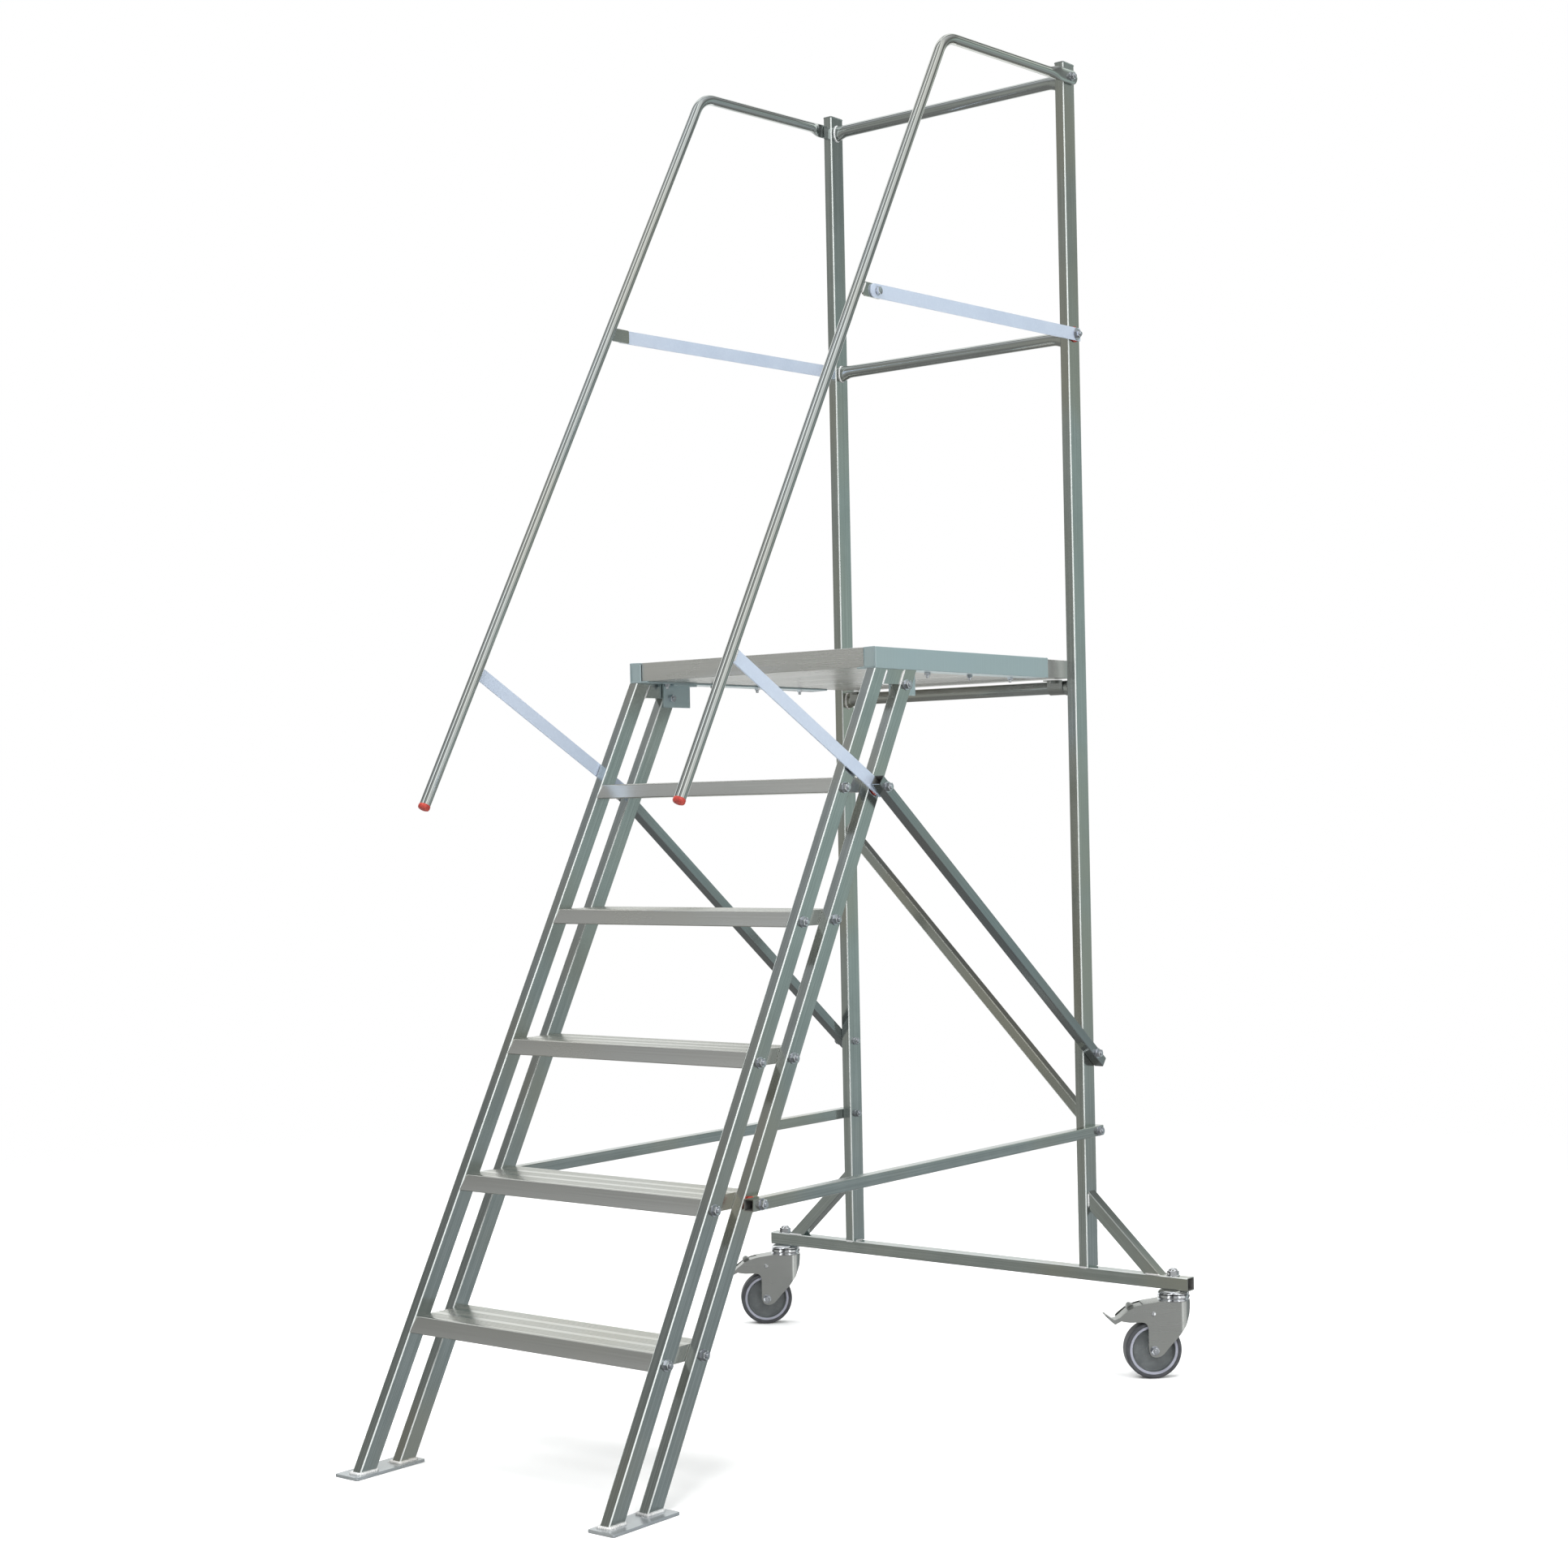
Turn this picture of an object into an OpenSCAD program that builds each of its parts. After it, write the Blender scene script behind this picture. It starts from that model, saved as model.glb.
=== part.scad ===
// Rolling warehouse ladder: five aluminium treads and a deck between twin
// inclined stiles, a rear frame of two masts on a base beam, bent handrails
// with flat stays, tubular side braces and two braked swivel casters.
// The frame: X is the width, the climber faces +Y, Z is up. The origin is on
// the floor, midway between the stiles, below the front edge of the stiles.

/* [Steps] */
// Height of the first tread's top above the floor
first_tread_z = 246; // [200:1:300]
// Vertical distance between two treads
tread_rise = 225; // [180:1:260]
// Number of treads below the deck
tread_count = 5; // [5:1:5]
// Front-to-rear length of a tread's top
tread_depth = 124; // [100:1:150]
// Height of a tread's section
tread_h = 26; // [20:1:36]
// Wall of the tread and deck extrusions
alu_t = 2.5; // [1.5:0.1:4]

/* [Stiles] */
// Slope of the stiles from the horizontal, in degrees
stile_angle = 61.5; // [55:0.5:70]
// Half the width over the stiles
stile_x = 289; // [220:1:360]
// Width of the stile and brace tubes
tube_w = 20; // [15:1:30]
// Depth of the stile tube, square to its length
stile_d = 32; // [25:1:50]
// Horizontal step from the front stile to the rear stile
stile_pitch = 88.3; // [70:0.1:120]
// Wall of the steel tubes
wall = 1.5; // [1:0.1:3]

/* [Deck] */
// Height of the deck's top
deck_z = 1375; // [1000:1:1600]
// Front edge of the deck
deck_front = 728; // [600:1:800]
// Rear edge of the deck
deck_rear = 1405; // [1200:1:1500]
// Height of the deck's edge
deck_h = 38; // [30:1:60]
// Number of deck planks
plank_count = 5; // [5:1:5]
// Rear end of the deck's side channels
channel_rear = 1284; // [1000:1:1400]

/* [Rear frame] */
// Half the width over the masts
mast_x = 295.3; // [220:0.1:360]
// Front face of the masts
mast_y = 1372; // [1200:1:1500]
// Depth of a mast
mast_d = 40; // [30:1:60]
// Top of the masts
mast_top = 2540; // [2000:1:2800]
// Half the length of the base beam
beam_x = 502; // [400:1:600]
// How much further the base beam reaches past its right caster
beam_over = 9; // [0:1:40]
// Size of the base beam's square section
beam_s = 25; // [20:1:40]
// Height of the base beam's top
beam_top = 191; // [150:1:220]
// Outside diameter of the rear rails
rail_od = 25; // [20:1:35]
// Height of the top rear rail
top_rail_z = 2511; // [2300:1:2600]
// Height of the middle rear rail
mid_rail_z = 2007; // [1800:1:2200]

/* [Handrails] */
// Outside diameter of the handrail tube
hand_od = 20; // [18:1:30]
// Distance of the handrail's centre line from the middle plane
hand_x = 291; // [250:1:340]
// Radius of the handrail's bend
hand_bend = 62; // [40:1:120]
// Lower end of the handrail, in height
hand_low_z = 1112; // [900:1:1300]
// Height of the corner where the handrail's two runs meet
hand_corner_z = 2499; // [2300:1:2600]
// Position of that corner from front to rear
hand_corner_y = 973; // [800:0.1:1200]
// Slope of the handrail's long run from the horizontal, in degrees
hand_angle = 60.8; // [55:0.1:70]
// Rise of the handrail's upper run towards the rear, in degrees
hand_rise = 2.2; // [0:0.1:5]

/* [Braces and stays] */
// Width of the flat stays
flat_w = 25; // [20:1:40]
// Thickness of the flat stays
flat_t = 3; // [2:0.5:6]
// Thickness of the red spacer washers
spacer_t = 3; // [2:0.5:5]
// Height of the side brace's lower bolt, on the mast
brace_mast_z = 608; // [500:1:700]
// Height of the lower brace's bolt, on the mast
lower_brace_z = 457; // [400:1:520]
// Height of the upper stay at the mast
stay_mast_z = 2011; // [1900:1:2100]
// Height of the upper stay at the handrail
stay_hand_z = 1996; // [1900:1:2100]

/* [Casters] */
// Distance of the caster stems from the middle plane
stem_x = 473; // [400:1:520]
// Wheel diameter
wheel_d = 108; // [80:1:125]
// Width of the tyre
tyre_w = 32; // [25:1:40]
// Horizontal distance from the stem to the axle
trail = 43; // [20:1:60]
// Heading of the caster forks at rest, in degrees from +X
heading = 222.8; // [0:0.1:360]

/* [Output] */
// Node to draw, or all of them

/* [Hidden] */
SIDES = [-1, 1];
FINE = 48;
ROUND = 32;

zinc = [0.62, 0.64, 0.65];
bright_zinc = [0.75, 0.79, 0.86];
aluminium = [0.80, 0.80, 0.78];
red = [0.80, 0.16, 0.12];
rubber = [0.33, 0.32, 0.35];
rim_grey = [0.52, 0.52, 0.58];
chrome = [0.80, 0.80, 0.82];

lean = 90 - stile_angle;
run = tan(lean);
stile_span = stile_d / cos(lean);
inner_x = stile_x - tube_w;
plate_t = 5;
deck_low = deck_z - deck_h;
flange_t = 3;
stile_top = deck_low;
bolt_r = 4;
hole_r = 4.2;
head_af = 13;
head_r = head_af / 2 / cos(30);
head_h = 5.3;
port_drop = 17.6;
mast_mid = mast_y + mast_d / 2;
mast_in = mast_x - tube_w;
rail_len = 2 * mast_in;
deck_rail_z = deck_low - rail_od / 2 - 2;
plank_half = 262;
plank_pitch = (deck_rear - deck_front) / plank_count;
beam_y = mast_mid - beam_s / 2;
beam_low = beam_top - beam_s;
cap_t = 3;
washer_out_r = 10;
pad = 0.5;

// Centre of the front stile's section at height z, from front to rear
function front_mid(z) = z * run + stile_span / 2;
function rear_mid(z) = front_mid(z) + stile_pitch;
function tread_z(k) = first_tread_z + (k - 1) * tread_rise;

// The braces share the rear bolts of these two treads
brace_treads = [2, 5];
stile_low_z = tread_z(brace_treads[0]) - port_drop;
brace_high_z = tread_z(brace_treads[1]) - port_drop;

module along_x(x, y, z, r, len, fn = ROUND) {
  translate([x, y, z])
    rotate([0, 90, 0])
      cylinder(h = len, r = r, center = true, $fn = fn);
}

module mirrored(side) {
  mirror([side < 0 ? 1 : 0, 0, 0])
    children();
}

// ---- stiles -------------------------------------------------------------

module foot_plate(side) {
  plate_front = -12;
  plate_len = 152;
  plate_in = 30;
  plate_out = 24;
  color(zinc)
    mirrored(side)
      translate([stile_x - plate_in, plate_front, 0])
        cube([plate_in + plate_out, plate_len, plate_t]);
}

module stile_tube(front_y) {
  len = 1700;
  start = -60;
  intersection() {
    translate([inner_x, front_y, 0])
      rotate([-lean, 0, 0])
        translate([0, 0, start])
          difference() {
            cube([tube_w, stile_d, len]);
            translate([wall, wall, -1])
              cube([tube_w - 2 * wall, stile_d - 2 * wall, len + 2]);
          }
    translate([inner_x - 1, -100, plate_t])
      cube([tube_w + 2, 1200, stile_top - plate_t]);
  }
}

module tread_holes(offset_y) {
  for (k = [1 : tread_count])
    along_x(stile_x, front_mid(tread_z(k) - port_drop) + offset_y,
            tread_z(k) - port_drop, hole_r, 3 * tube_w);
}

module stile_front(side) {
  color(zinc)
    mirrored(side)
      difference() {
        stile_tube(0);
        tread_holes(0);
      }
}

module stile_rear(side) {
  color(zinc)
    mirrored(side)
      difference() {
        stile_tube(stile_pitch);
        tread_holes(stile_pitch);
        along_x(stile_x, rear_mid(bracket_z), bracket_z, hole_r, 3 * tube_w);
      }
}

module stile_spacers() {
  spacer_h = 27;
  low_z = stile_top - spacer_h;
  span = stile_pitch - stile_span;
  color(zinc)
    for (side = SIDES)
      mirrored(side)
        intersection() {
          translate([inner_x + 1, stile_span, 0])
            rotate([-lean, 0, 0])
              cube([tube_w - 2, span * cos(lean), 2000]);
          translate([inner_x, 0, low_z])
            cube([tube_w, 1200, spacer_h]);
        }
}

// ---- treads -------------------------------------------------------------

// Section of a tread, with its top front corner at the origin
module tread_section() {
  back = tread_h * run;
  groove_w = 2.2;
  groove_d = 1;
  band_pitch = 40;
  rib_pitch = 5.5;
  web = 14;
  port_y = stile_span / 2 - port_drop * run;
  difference() {
    polygon([[0, 0], [tread_depth, 0], [tread_depth - back, -tread_h], [-back, -tread_h]]);
    for (band = [0 : 2])
      for (rib = [0 : 4])
        translate([12 + band * band_pitch + rib * rib_pitch, -groove_d])
          square([groove_w, 2 * groove_d]);
    translate([port_y + web / 2, -tread_h + alu_t])
      square([stile_pitch - web, tread_h - 2 * alu_t - groove_d]);
    translate([port_y + stile_pitch + web / 2, -tread_h - 1])
      square([4, tread_h - 2 * alu_t]);
  }
}

module tread(k) {
  z = tread_z(k);
  port_len = 26;
  color(aluminium)
    difference() {
      translate([-inner_x, z * run, z])
        rotate([90, 0, 90])
          linear_extrude(height = 2 * inner_x)
            tread_section();
      for (side = SIDES)
        for (step_y = [0, stile_pitch])
          along_x(side * inner_x, front_mid(z - port_drop) + step_y,
                  z - port_drop, bolt_r + 0.1, 2 * port_len);
    }
}

// Hex head bolt, head outwards (+X), face of the head's seat at x
module bolt_out(x, y, z, len) {
  translate([x, y, z])
    rotate([0, 90, 0])
      union() {
        cylinder(h = head_h, r = head_r, $fn = 6);
        translate([0, 0, -len])
          cylinder(h = len + 1, r = bolt_r, $fn = ROUND);
      }
}

module tread_bolts() {
  grip = tube_w + 22;
  color(bright_zinc)
    for (side = SIDES)
      mirrored(side)
        for (k = [1 : tread_count])
          for (step_y = [0, stile_pitch])
            if (step_y == 0 || (k != brace_treads[0] && k != brace_treads[1]))
              bolt_out(stile_x, front_mid(tread_z(k) - port_drop) + step_y,
                       tread_z(k) - port_drop, grip);
}

// ---- deck ---------------------------------------------------------------

bracket_z = 1310;
bracket_t = 4;
channel_in = 247;

module deck_plank(index) {
  top_t = 3;
  h = deck_h - flange_t;
  groove_w = 3;
  groove_d = 1;
  rib_pitch = 9;
  rib_count = 13;
  gap = 1;
  cell = (plank_pitch - 4 * alu_t - gap) / 3;
  front = index == 1 ? 4 : 0;
  depth = plank_pitch - gap - front;
  color(aluminium)
    translate([-plank_half, deck_front + (index - 1) * plank_pitch + front, deck_z - h])
      rotate([90, 0, 90])
        linear_extrude(height = 2 * plank_half)
          difference() {
            square([depth, h]);
            for (rib = [0 : rib_count - 1])
              translate([7 + rib * rib_pitch, h - groove_d])
                square([groove_w, 2]);
            for (rib = [0 : rib_count - 1])
              translate([7 + rib * rib_pitch, -1])
                square([groove_w, 1 + groove_d]);
            for (c = [0 : 2])
              translate([alu_t + c * (cell + alu_t) - c * front / 3, alu_t + groove_d])
                square([cell - front, h - top_t - alu_t - 2 * groove_d]);
          }
}

module deck_channel(side) {
  len = channel_rear - deck_front;
  hole_count = 4;
  color([0.55, 0.65, 0.65])
    mirrored(side)
      difference() {
        translate([0, deck_front, deck_low])
          union() {
            translate([stile_x - flange_t, 0, 0])
              cube([flange_t, len, deck_h]);
            translate([plank_half, 0, deck_h - flange_t])
              cube([stile_x - plank_half, len, flange_t]);
            translate([channel_in, 0, 0])
              cube([stile_x - channel_in, len, flange_t]);
            translate([plank_half, 0, 0])
              cube([stile_x - plank_half, flange_t, deck_h]);
          }
        for (c = [1 : hole_count])
          translate([plank_half - 7, deck_front + (c - 0.5) * plank_pitch, deck_low - 1])
            cylinder(h = flange_t + 2, r = 3.2, $fn = ROUND);
      }
}

// Angle bracket from the rear stile's inner face to the deck's underside
module deck_brackets() {
  front = 797;
  len = 76;
  drop = 44;
  arm = 22;
  arm_back = 8;
  color(zinc)
    for (side = SIDES)
      mirrored(side)
        difference() {
          union() {
            translate([inner_x - bracket_t, front, deck_low - drop])
              cube([bracket_t, len, drop]);
            translate([inner_x - arm, front + arm_back, deck_low - bracket_t])
              cube([arm - bracket_t + 0.5, len - arm_back, bracket_t]);
          }
          along_x(inner_x, rear_mid(bracket_z), bracket_z, hole_r, 40);
        }
}

module deck_bolts() {
  bolt_len = 12;
  small_r = 3;
  small_head = 5.8;
  small_h = 4;
  color(bright_zinc) {
    for (side = SIDES)
      mirrored(side) {
        for (c = [1 : 4])
          translate([plank_half - 7, deck_front + (c - 0.5) * plank_pitch, deck_low - small_h])
            union() {
              cylinder(h = small_h, r = small_head, $fn = 6);
              cylinder(h = small_h + flange_t, r = small_r, $fn = ROUND);
            }
        bolt_out(stile_x, rear_mid(bracket_z), bracket_z, tube_w + bolt_len);
        translate([inner_x - bracket_t - 6.5, rear_mid(bracket_z), bracket_z])
          rotate([0, 90, 0])
            difference() {
              cylinder(h = 6.5, r = head_r, $fn = 6);
              translate([0, 0, -1])
                cylinder(h = 9, r = hole_r, $fn = ROUND);
            }
      }
  }
}

module cross_tube(z, len) {
  difference() {
    along_x(0, mast_mid, z, rail_od / 2, len, FINE);
    along_x(0, mast_mid, z, rail_od / 2 - wall, len + 2, FINE);
  }
}

module deck_rail() {
  color(zinc)
    cross_tube(deck_rail_z, rail_len);
}

// Saddles that hold the deck's rear end on the deck rail
module deck_clips() {
  clip_x = 243;
  clip_w = 34;
  clip_t = 2;
  r_in = rail_od / 2 + 0.1;
  ear = 16;
  color(bright_zinc)
    for (side = SIDES)
      mirrored(side)
        difference() {
          union() {
            along_x(clip_x, mast_mid, deck_rail_z, r_in + clip_t, clip_w, FINE);
            translate([clip_x - clip_w / 2, mast_mid - r_in - ear, deck_low - 2])
              cube([clip_w, 2 * (r_in + ear), 5]);
            translate([clip_x - clip_w / 2, mast_mid - r_in - clip_t, deck_rail_z])
              cube([clip_w, 2 * (r_in + clip_t), deck_low - deck_rail_z]);
          }
          along_x(clip_x, mast_mid, deck_rail_z, r_in, clip_w + 2, FINE);
          translate([clip_x - clip_w, mast_mid - 40, deck_z - deck_h + flange_t])
            cube([2 * clip_w, 80, 40]);
        }
}

// ---- rear frame ---------------------------------------------------------

module mast(side) {
  color(zinc)
    mirrored(side)
      difference() {
        translate([mast_in, mast_y, beam_top])
          cube([tube_w, mast_d, mast_top - beam_top]);
        translate([mast_in + wall, mast_y + wall, beam_top - 1])
          cube([tube_w - 2 * wall, mast_d - 2 * wall, mast_top - beam_top + 2]);
        for (z = [brace_mast_z, lower_brace_z, stay_mast_z, hand_bolt_z])
          along_x(mast_x, mast_mid, z, hole_r, 3 * tube_w);
      }
}

module mast_caps() {
  lip = 0.4;
  plug_h = 12;
  color(zinc)
    for (side = SIDES)
      mirrored(side)
        union() {
          translate([mast_in - lip, mast_y - lip, mast_top])
            cube([tube_w + 2 * lip, mast_d + 2 * lip, cap_t]);
          translate([mast_in + wall + 0.1, mast_y + wall + 0.1, mast_top - plug_h])
            cube([tube_w - 2 * wall - 0.2, mast_d - 2 * wall - 0.2, plug_h + 1]);
        }
}

module base_beam() {
  color(zinc)
    difference() {
      translate([-beam_x, beam_y, beam_low])
        cube([2 * beam_x + beam_over, beam_s, beam_s]);
      translate([-beam_x - 1, beam_y + wall, beam_low + wall])
        cube([2 * beam_x + beam_over + 2, beam_s - 2 * wall, beam_s - 2 * wall]);
      for (side = SIDES)
        translate([side * stem_x, mast_mid, beam_low - 1])
          cylinder(h = beam_s + 2, r = stem_r + 0.2, $fn = ROUND);
    }
}

// Square tube in the XZ plane between two points, cut by the box given
module plane_brace(x0, z0, x1, z1, size, low, high) {
  dx = x1 - x0;
  dz = z1 - z0;
  len = sqrt(dx * dx + dz * dz);
  extra = 60;
  intersection() {
    translate([x0, mast_mid, z0])
      rotate([0, -atan2(dz, dx), 0])
        translate([-extra, -size / 2, -size / 2])
          difference() {
            cube([len + 2 * extra, size, size]);
            translate([-1, wall, wall])
              cube([len + 2 * extra + 2, size - 2 * wall, size - 2 * wall]);
          }
    translate([low[0], mast_mid - size, low[1]])
      cube([high[0] - low[0], 2 * size, high[1] - low[1]]);
  }
}

module gusset(side) {
  reach = 434;
  rise_z = 322;
  gusset_s = 25;
  color(zinc)
    mirrored(side)
      plane_brace(mast_x, rise_z, reach, beam_top, gusset_s,
                  [mast_x, beam_top], [beam_x, rise_z + 12]);
}

module rear_diagonal() {
  high_z = 1047;
  low_z = 489;
  color(zinc)
    plane_brace(-mast_in, high_z, mast_in, low_z, tube_w,
                [-mast_in, low_z - 60], [mast_in, high_z + 60]);
}

module rear_top_rail() {
  color(zinc)
    cross_tube(top_rail_z, rail_len);
}

module rear_mid_rail() {
  color(zinc)
    cross_tube(mid_rail_z, rail_len);
}

// ---- handrails ----------------------------------------------------------

hand_turn = hand_angle - hand_rise;
hand_tan = hand_bend * tan(hand_turn / 2);
hand_low_len = (hand_corner_z - hand_low_z) / sin(hand_angle);
end_plate_t = 6;
end_plate_h = 28;
hand_end_y = 1342;
hand_bolt_z = hand_corner_z + (mast_mid - hand_corner_y) * tan(hand_rise);

module ring_tube(len, r_out, r_in) {
  difference() {
    cylinder(h = len, r = r_out, $fn = FINE);
    translate([0, 0, -1])
      cylinder(h = len + 2, r = r_in, $fn = FINE);
  }
}

module handrail(side) {
  r = hand_od / 2;
  upper_len = (hand_end_y - hand_corner_y) / cos(hand_rise);
  plate_len = mast_y + mast_d + 3 - hand_end_y;
  color(zinc)
    mirrored(side)
      union() {
        translate([hand_x, hand_corner_y, hand_corner_z]) {
          rotate([hand_angle + 90, 0, 0])
            translate([0, 0, hand_tan])
              ring_tube(hand_low_len - hand_tan, r, r - wall);
          rotate([hand_rise - 90, 0, 0])
            translate([0, 0, hand_tan])
              ring_tube(upper_len - hand_tan, r, r - wall);
          rotate([hand_rise, 0, 0])
            translate([0, hand_tan, -hand_bend])
              rotate([0, -90, 180])
                rotate_extrude(angle = hand_turn, $fn = 96)
                  translate([hand_bend, 0])
                    difference() {
                      circle(r = r, $fn = ROUND);
                      circle(r = r - wall, $fn = ROUND);
                    }
        }
        difference() {
          translate([mast_x + 0.5, hand_corner_y, hand_corner_z])
            rotate([hand_rise, 0, 0])
              translate([0, upper_len, -end_plate_h / 2])
                cube([end_plate_t, plate_len, end_plate_h]);
          along_x(mast_x, mast_mid, hand_bolt_z, hole_r, 40);
        }
      }
}

// Red end plugs in the handrails' lower ends
module handrail_plugs() {
  plug_len = 8;
  neck = 14;
  color(red)
    for (side = SIDES)
      mirrored(side)
        translate([hand_x, hand_corner_y, hand_corner_z])
          rotate([hand_angle + 90, 0, 0])
            translate([0, 0, hand_low_len])
              union() {
                cylinder(h = plug_len, r = hand_od / 2 + 0.5, $fn = FINE);
                translate([0, 0, -neck])
                  cylinder(h = neck + 1, r = hand_od / 2 - wall - 0.1, $fn = FINE);
              }
}

// Point on the handrail's long run at height z
function hand_y(z) = hand_corner_y - (hand_corner_z - z) / tan(hand_angle);

tab_t = 4;
stay_front_y = hand_y(stay_hand_z) + 46.6;

// Lugs welded to the handrails, that the upper stays are bolted to
module handrail_tabs() {
  tab_h = 25;
  tab_start = hand_y(stay_hand_z) + 5;
  tab_over = 12;
  color(zinc)
    for (side = SIDES)
      mirrored(side)
        difference() {
          translate([tab_x - tab_t, tab_start, stay_hand_z - tab_h / 2])
            cube([tab_t, stay_front_y + tab_over - tab_start, tab_h]);
          handrail_core();
          along_x(tab_x, stay_front_y, stay_hand_z, hole_r, 40);
        }
}

// The space filled by a handrail's long run
module handrail_core() {
  translate([hand_x, hand_corner_y, hand_corner_z])
    rotate([hand_angle + 90, 0, 0])
      cylinder(h = hand_low_len, r = hand_od / 2, $fn = FINE);
}

// ---- stays and braces -----------------------------------------------------

tab_x = mast_x + spacer_t;
stay_low_z = 1348.4;
stay_low_x = stile_x + spacer_t;

// Flat bar in the YZ plane from one point to another, its inner face at x; it
// starts short of the first point by skip, or ends round when skip is negative,
// and reaches past the second, where it has a bolt hole
module flat_bar(x, y0, z0, y1, z1, skip) {
  over = 14;
  dy = y1 - y0;
  dz = z1 - z0;
  len = sqrt(dy * dy + dz * dz);
  translate([x, y0, z0])
    rotate([atan2(dz, dy), 0, 0])
      difference() {
        union() {
          translate([0, skip, -flat_w / 2])
            cube([flat_t, len + over - skip, flat_w]);
          if (skip < 0)
            along_x(flat_t / 2, skip, 0, flat_w / 2, flat_t, FINE);
        }
        if (skip < 0)
          along_x(0, 0, 0, hole_r, 20);
        along_x(0, len, 0, hole_r, 20);
      }
}

module stay_upper(side) {
  nose = 7;
  color(bright_zinc)
    mirrored(side)
      flat_bar(tab_x, stay_front_y, stay_hand_z, mast_mid, stay_mast_z, -nose);
}

// The lower stay's front end is cut to the handrail and welded to it
module stay_lower(side) {
  weld_skip = 9;
  color(bright_zinc)
    mirrored(side)
      difference() {
        flat_bar(stay_low_x, hand_y(stay_low_z), stay_low_z,
                 rear_mid(brace_high_z), brace_high_z, weld_skip);
        handrail_core();
      }
}

// Square side tube with its inner face at x, between two bolts
module side_tube(x, y0, z0, y1, z1, over0, over1) {
  dy = y1 - y0;
  dz = z1 - z0;
  len = sqrt(dy * dy + dz * dz);
  translate([x, y0, z0])
    rotate([atan2(dz, dy), 0, 0])
      difference() {
        translate([0, -over0, -tube_w / 2])
          cube([tube_w, len + over0 + over1, tube_w]);
        translate([wall, -over0 - 1, -tube_w / 2 + wall])
          cube([tube_w - 2 * wall, len + over0 + over1 + 2, tube_w - 2 * wall]);
        along_x(tube_w / 2, 0, 0, hole_r, 40);
        along_x(tube_w / 2, len, 0, hole_r, 40);
      }
}

brace_x = mast_x + 0.2;

module side_brace(side) {
  color(zinc)
    mirrored(side)
      side_tube(brace_x, rear_mid(brace_high_z), brace_high_z,
                mast_mid, brace_mast_z, 20, 32);
}

module lower_brace(side) {
  color(zinc)
    mirrored(side)
      side_tube(brace_x, rear_mid(stile_low_z), stile_low_z,
                mast_mid, lower_brace_z, 22, 16);
}

module brace_bolts() {
  small = 11;
  through = tube_w + 10;
  color(bright_zinc)
    for (side = SIDES)
      mirrored(side) {
        bolt_out(brace_x + tube_w, rear_mid(brace_high_z), brace_high_z,
                 brace_x + tube_w - inner_x + 10);
        bolt_out(brace_x + tube_w, rear_mid(stile_low_z), stile_low_z,
                 brace_x + tube_w - inner_x + 10);
        bolt_out(brace_x + tube_w, mast_mid, brace_mast_z, tube_w + through);
        bolt_out(brace_x + tube_w, mast_mid, lower_brace_z, tube_w + through);
        bolt_out(tab_x + flat_t, mast_mid, stay_mast_z, tube_w + spacer_t + flat_t + 10);
        bolt_out(mast_x + 0.5 + end_plate_t, mast_mid, hand_bolt_z, tube_w + end_plate_t + 8);
        bolt_out(tab_x + flat_t, stay_front_y, stay_hand_z, small);
      }
}

module nut_in(x, y, z) {
  nut_h = 6.5;
  translate([x - nut_h, y, z])
    rotate([0, 90, 0])
      difference() {
        cylinder(h = nut_h, r = head_r, $fn = 6);
        translate([0, 0, -1])
          cylinder(h = nut_h + 2, r = bolt_r + 0.05, $fn = ROUND);
      }
}

module brace_nuts() {
  color(bright_zinc)
    for (side = SIDES)
      mirrored(side) {
        nut_in(mast_in, mast_mid, brace_mast_z);
        nut_in(mast_in, mast_mid, lower_brace_z);
      }
}

module washer_at(x, y, z, t, r) {
  translate([x, y, z])
    rotate([0, 90, 0])
      difference() {
        cylinder(h = t, r = r, $fn = FINE);
        translate([0, 0, -1])
          cylinder(h = t + 2, r = bolt_r + 0.3, $fn = ROUND);
      }
}

// Red plastic washers between the tubes and the bars bolted to them
module spacer_washers() {
  color(red)
    for (side = SIDES)
      mirrored(side) {
        washer_at(mast_x, mast_mid, stay_mast_z, spacer_t, washer_out_r + 5);
        washer_at(stile_x, rear_mid(brace_high_z), brace_high_z, spacer_t, washer_out_r + 4);
        washer_at(stile_x, rear_mid(stile_low_z), stile_low_z, brace_x - stile_x,
                  washer_out_r + 4);
      }
}

// ---- casters --------------------------------------------------------------

stem_r = 6;
cup_r = 30;
cup_h = 7;
ring_r = 30.5;
ring_h = 13.5;
crown_t = 3;
king_r = 8;
king_head = 12;
king_low = 133;
cheek_t = 3;
fork_gap = 38;
fork_w = fork_gap + 2 * cheek_t;
wheel_r = wheel_d / 2;
ring_low = beam_low - cup_h - ring_h - pad;
rivet_t = 44;
rivet_z = 124;
rivet_r = 3;
pin_gap = 0.1;
hub_r = 46;
rim_in = 41;
hub_w = 30;

// Places its child at a caster's stem, turned to the rest heading
module at_caster(side) {
  translate([side * stem_x, mast_mid, 0])
    rotate([0, 0, heading])
      children();
}

// Cylinder across the fork, at distance t from the stem and height z
module cross_pin(t, z, r, len, fn = ROUND) {
  translate([t, 0, z])
    rotate([90, 0, 0])
      cylinder(h = len, r = r, center = true, $fn = fn);
}

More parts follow.
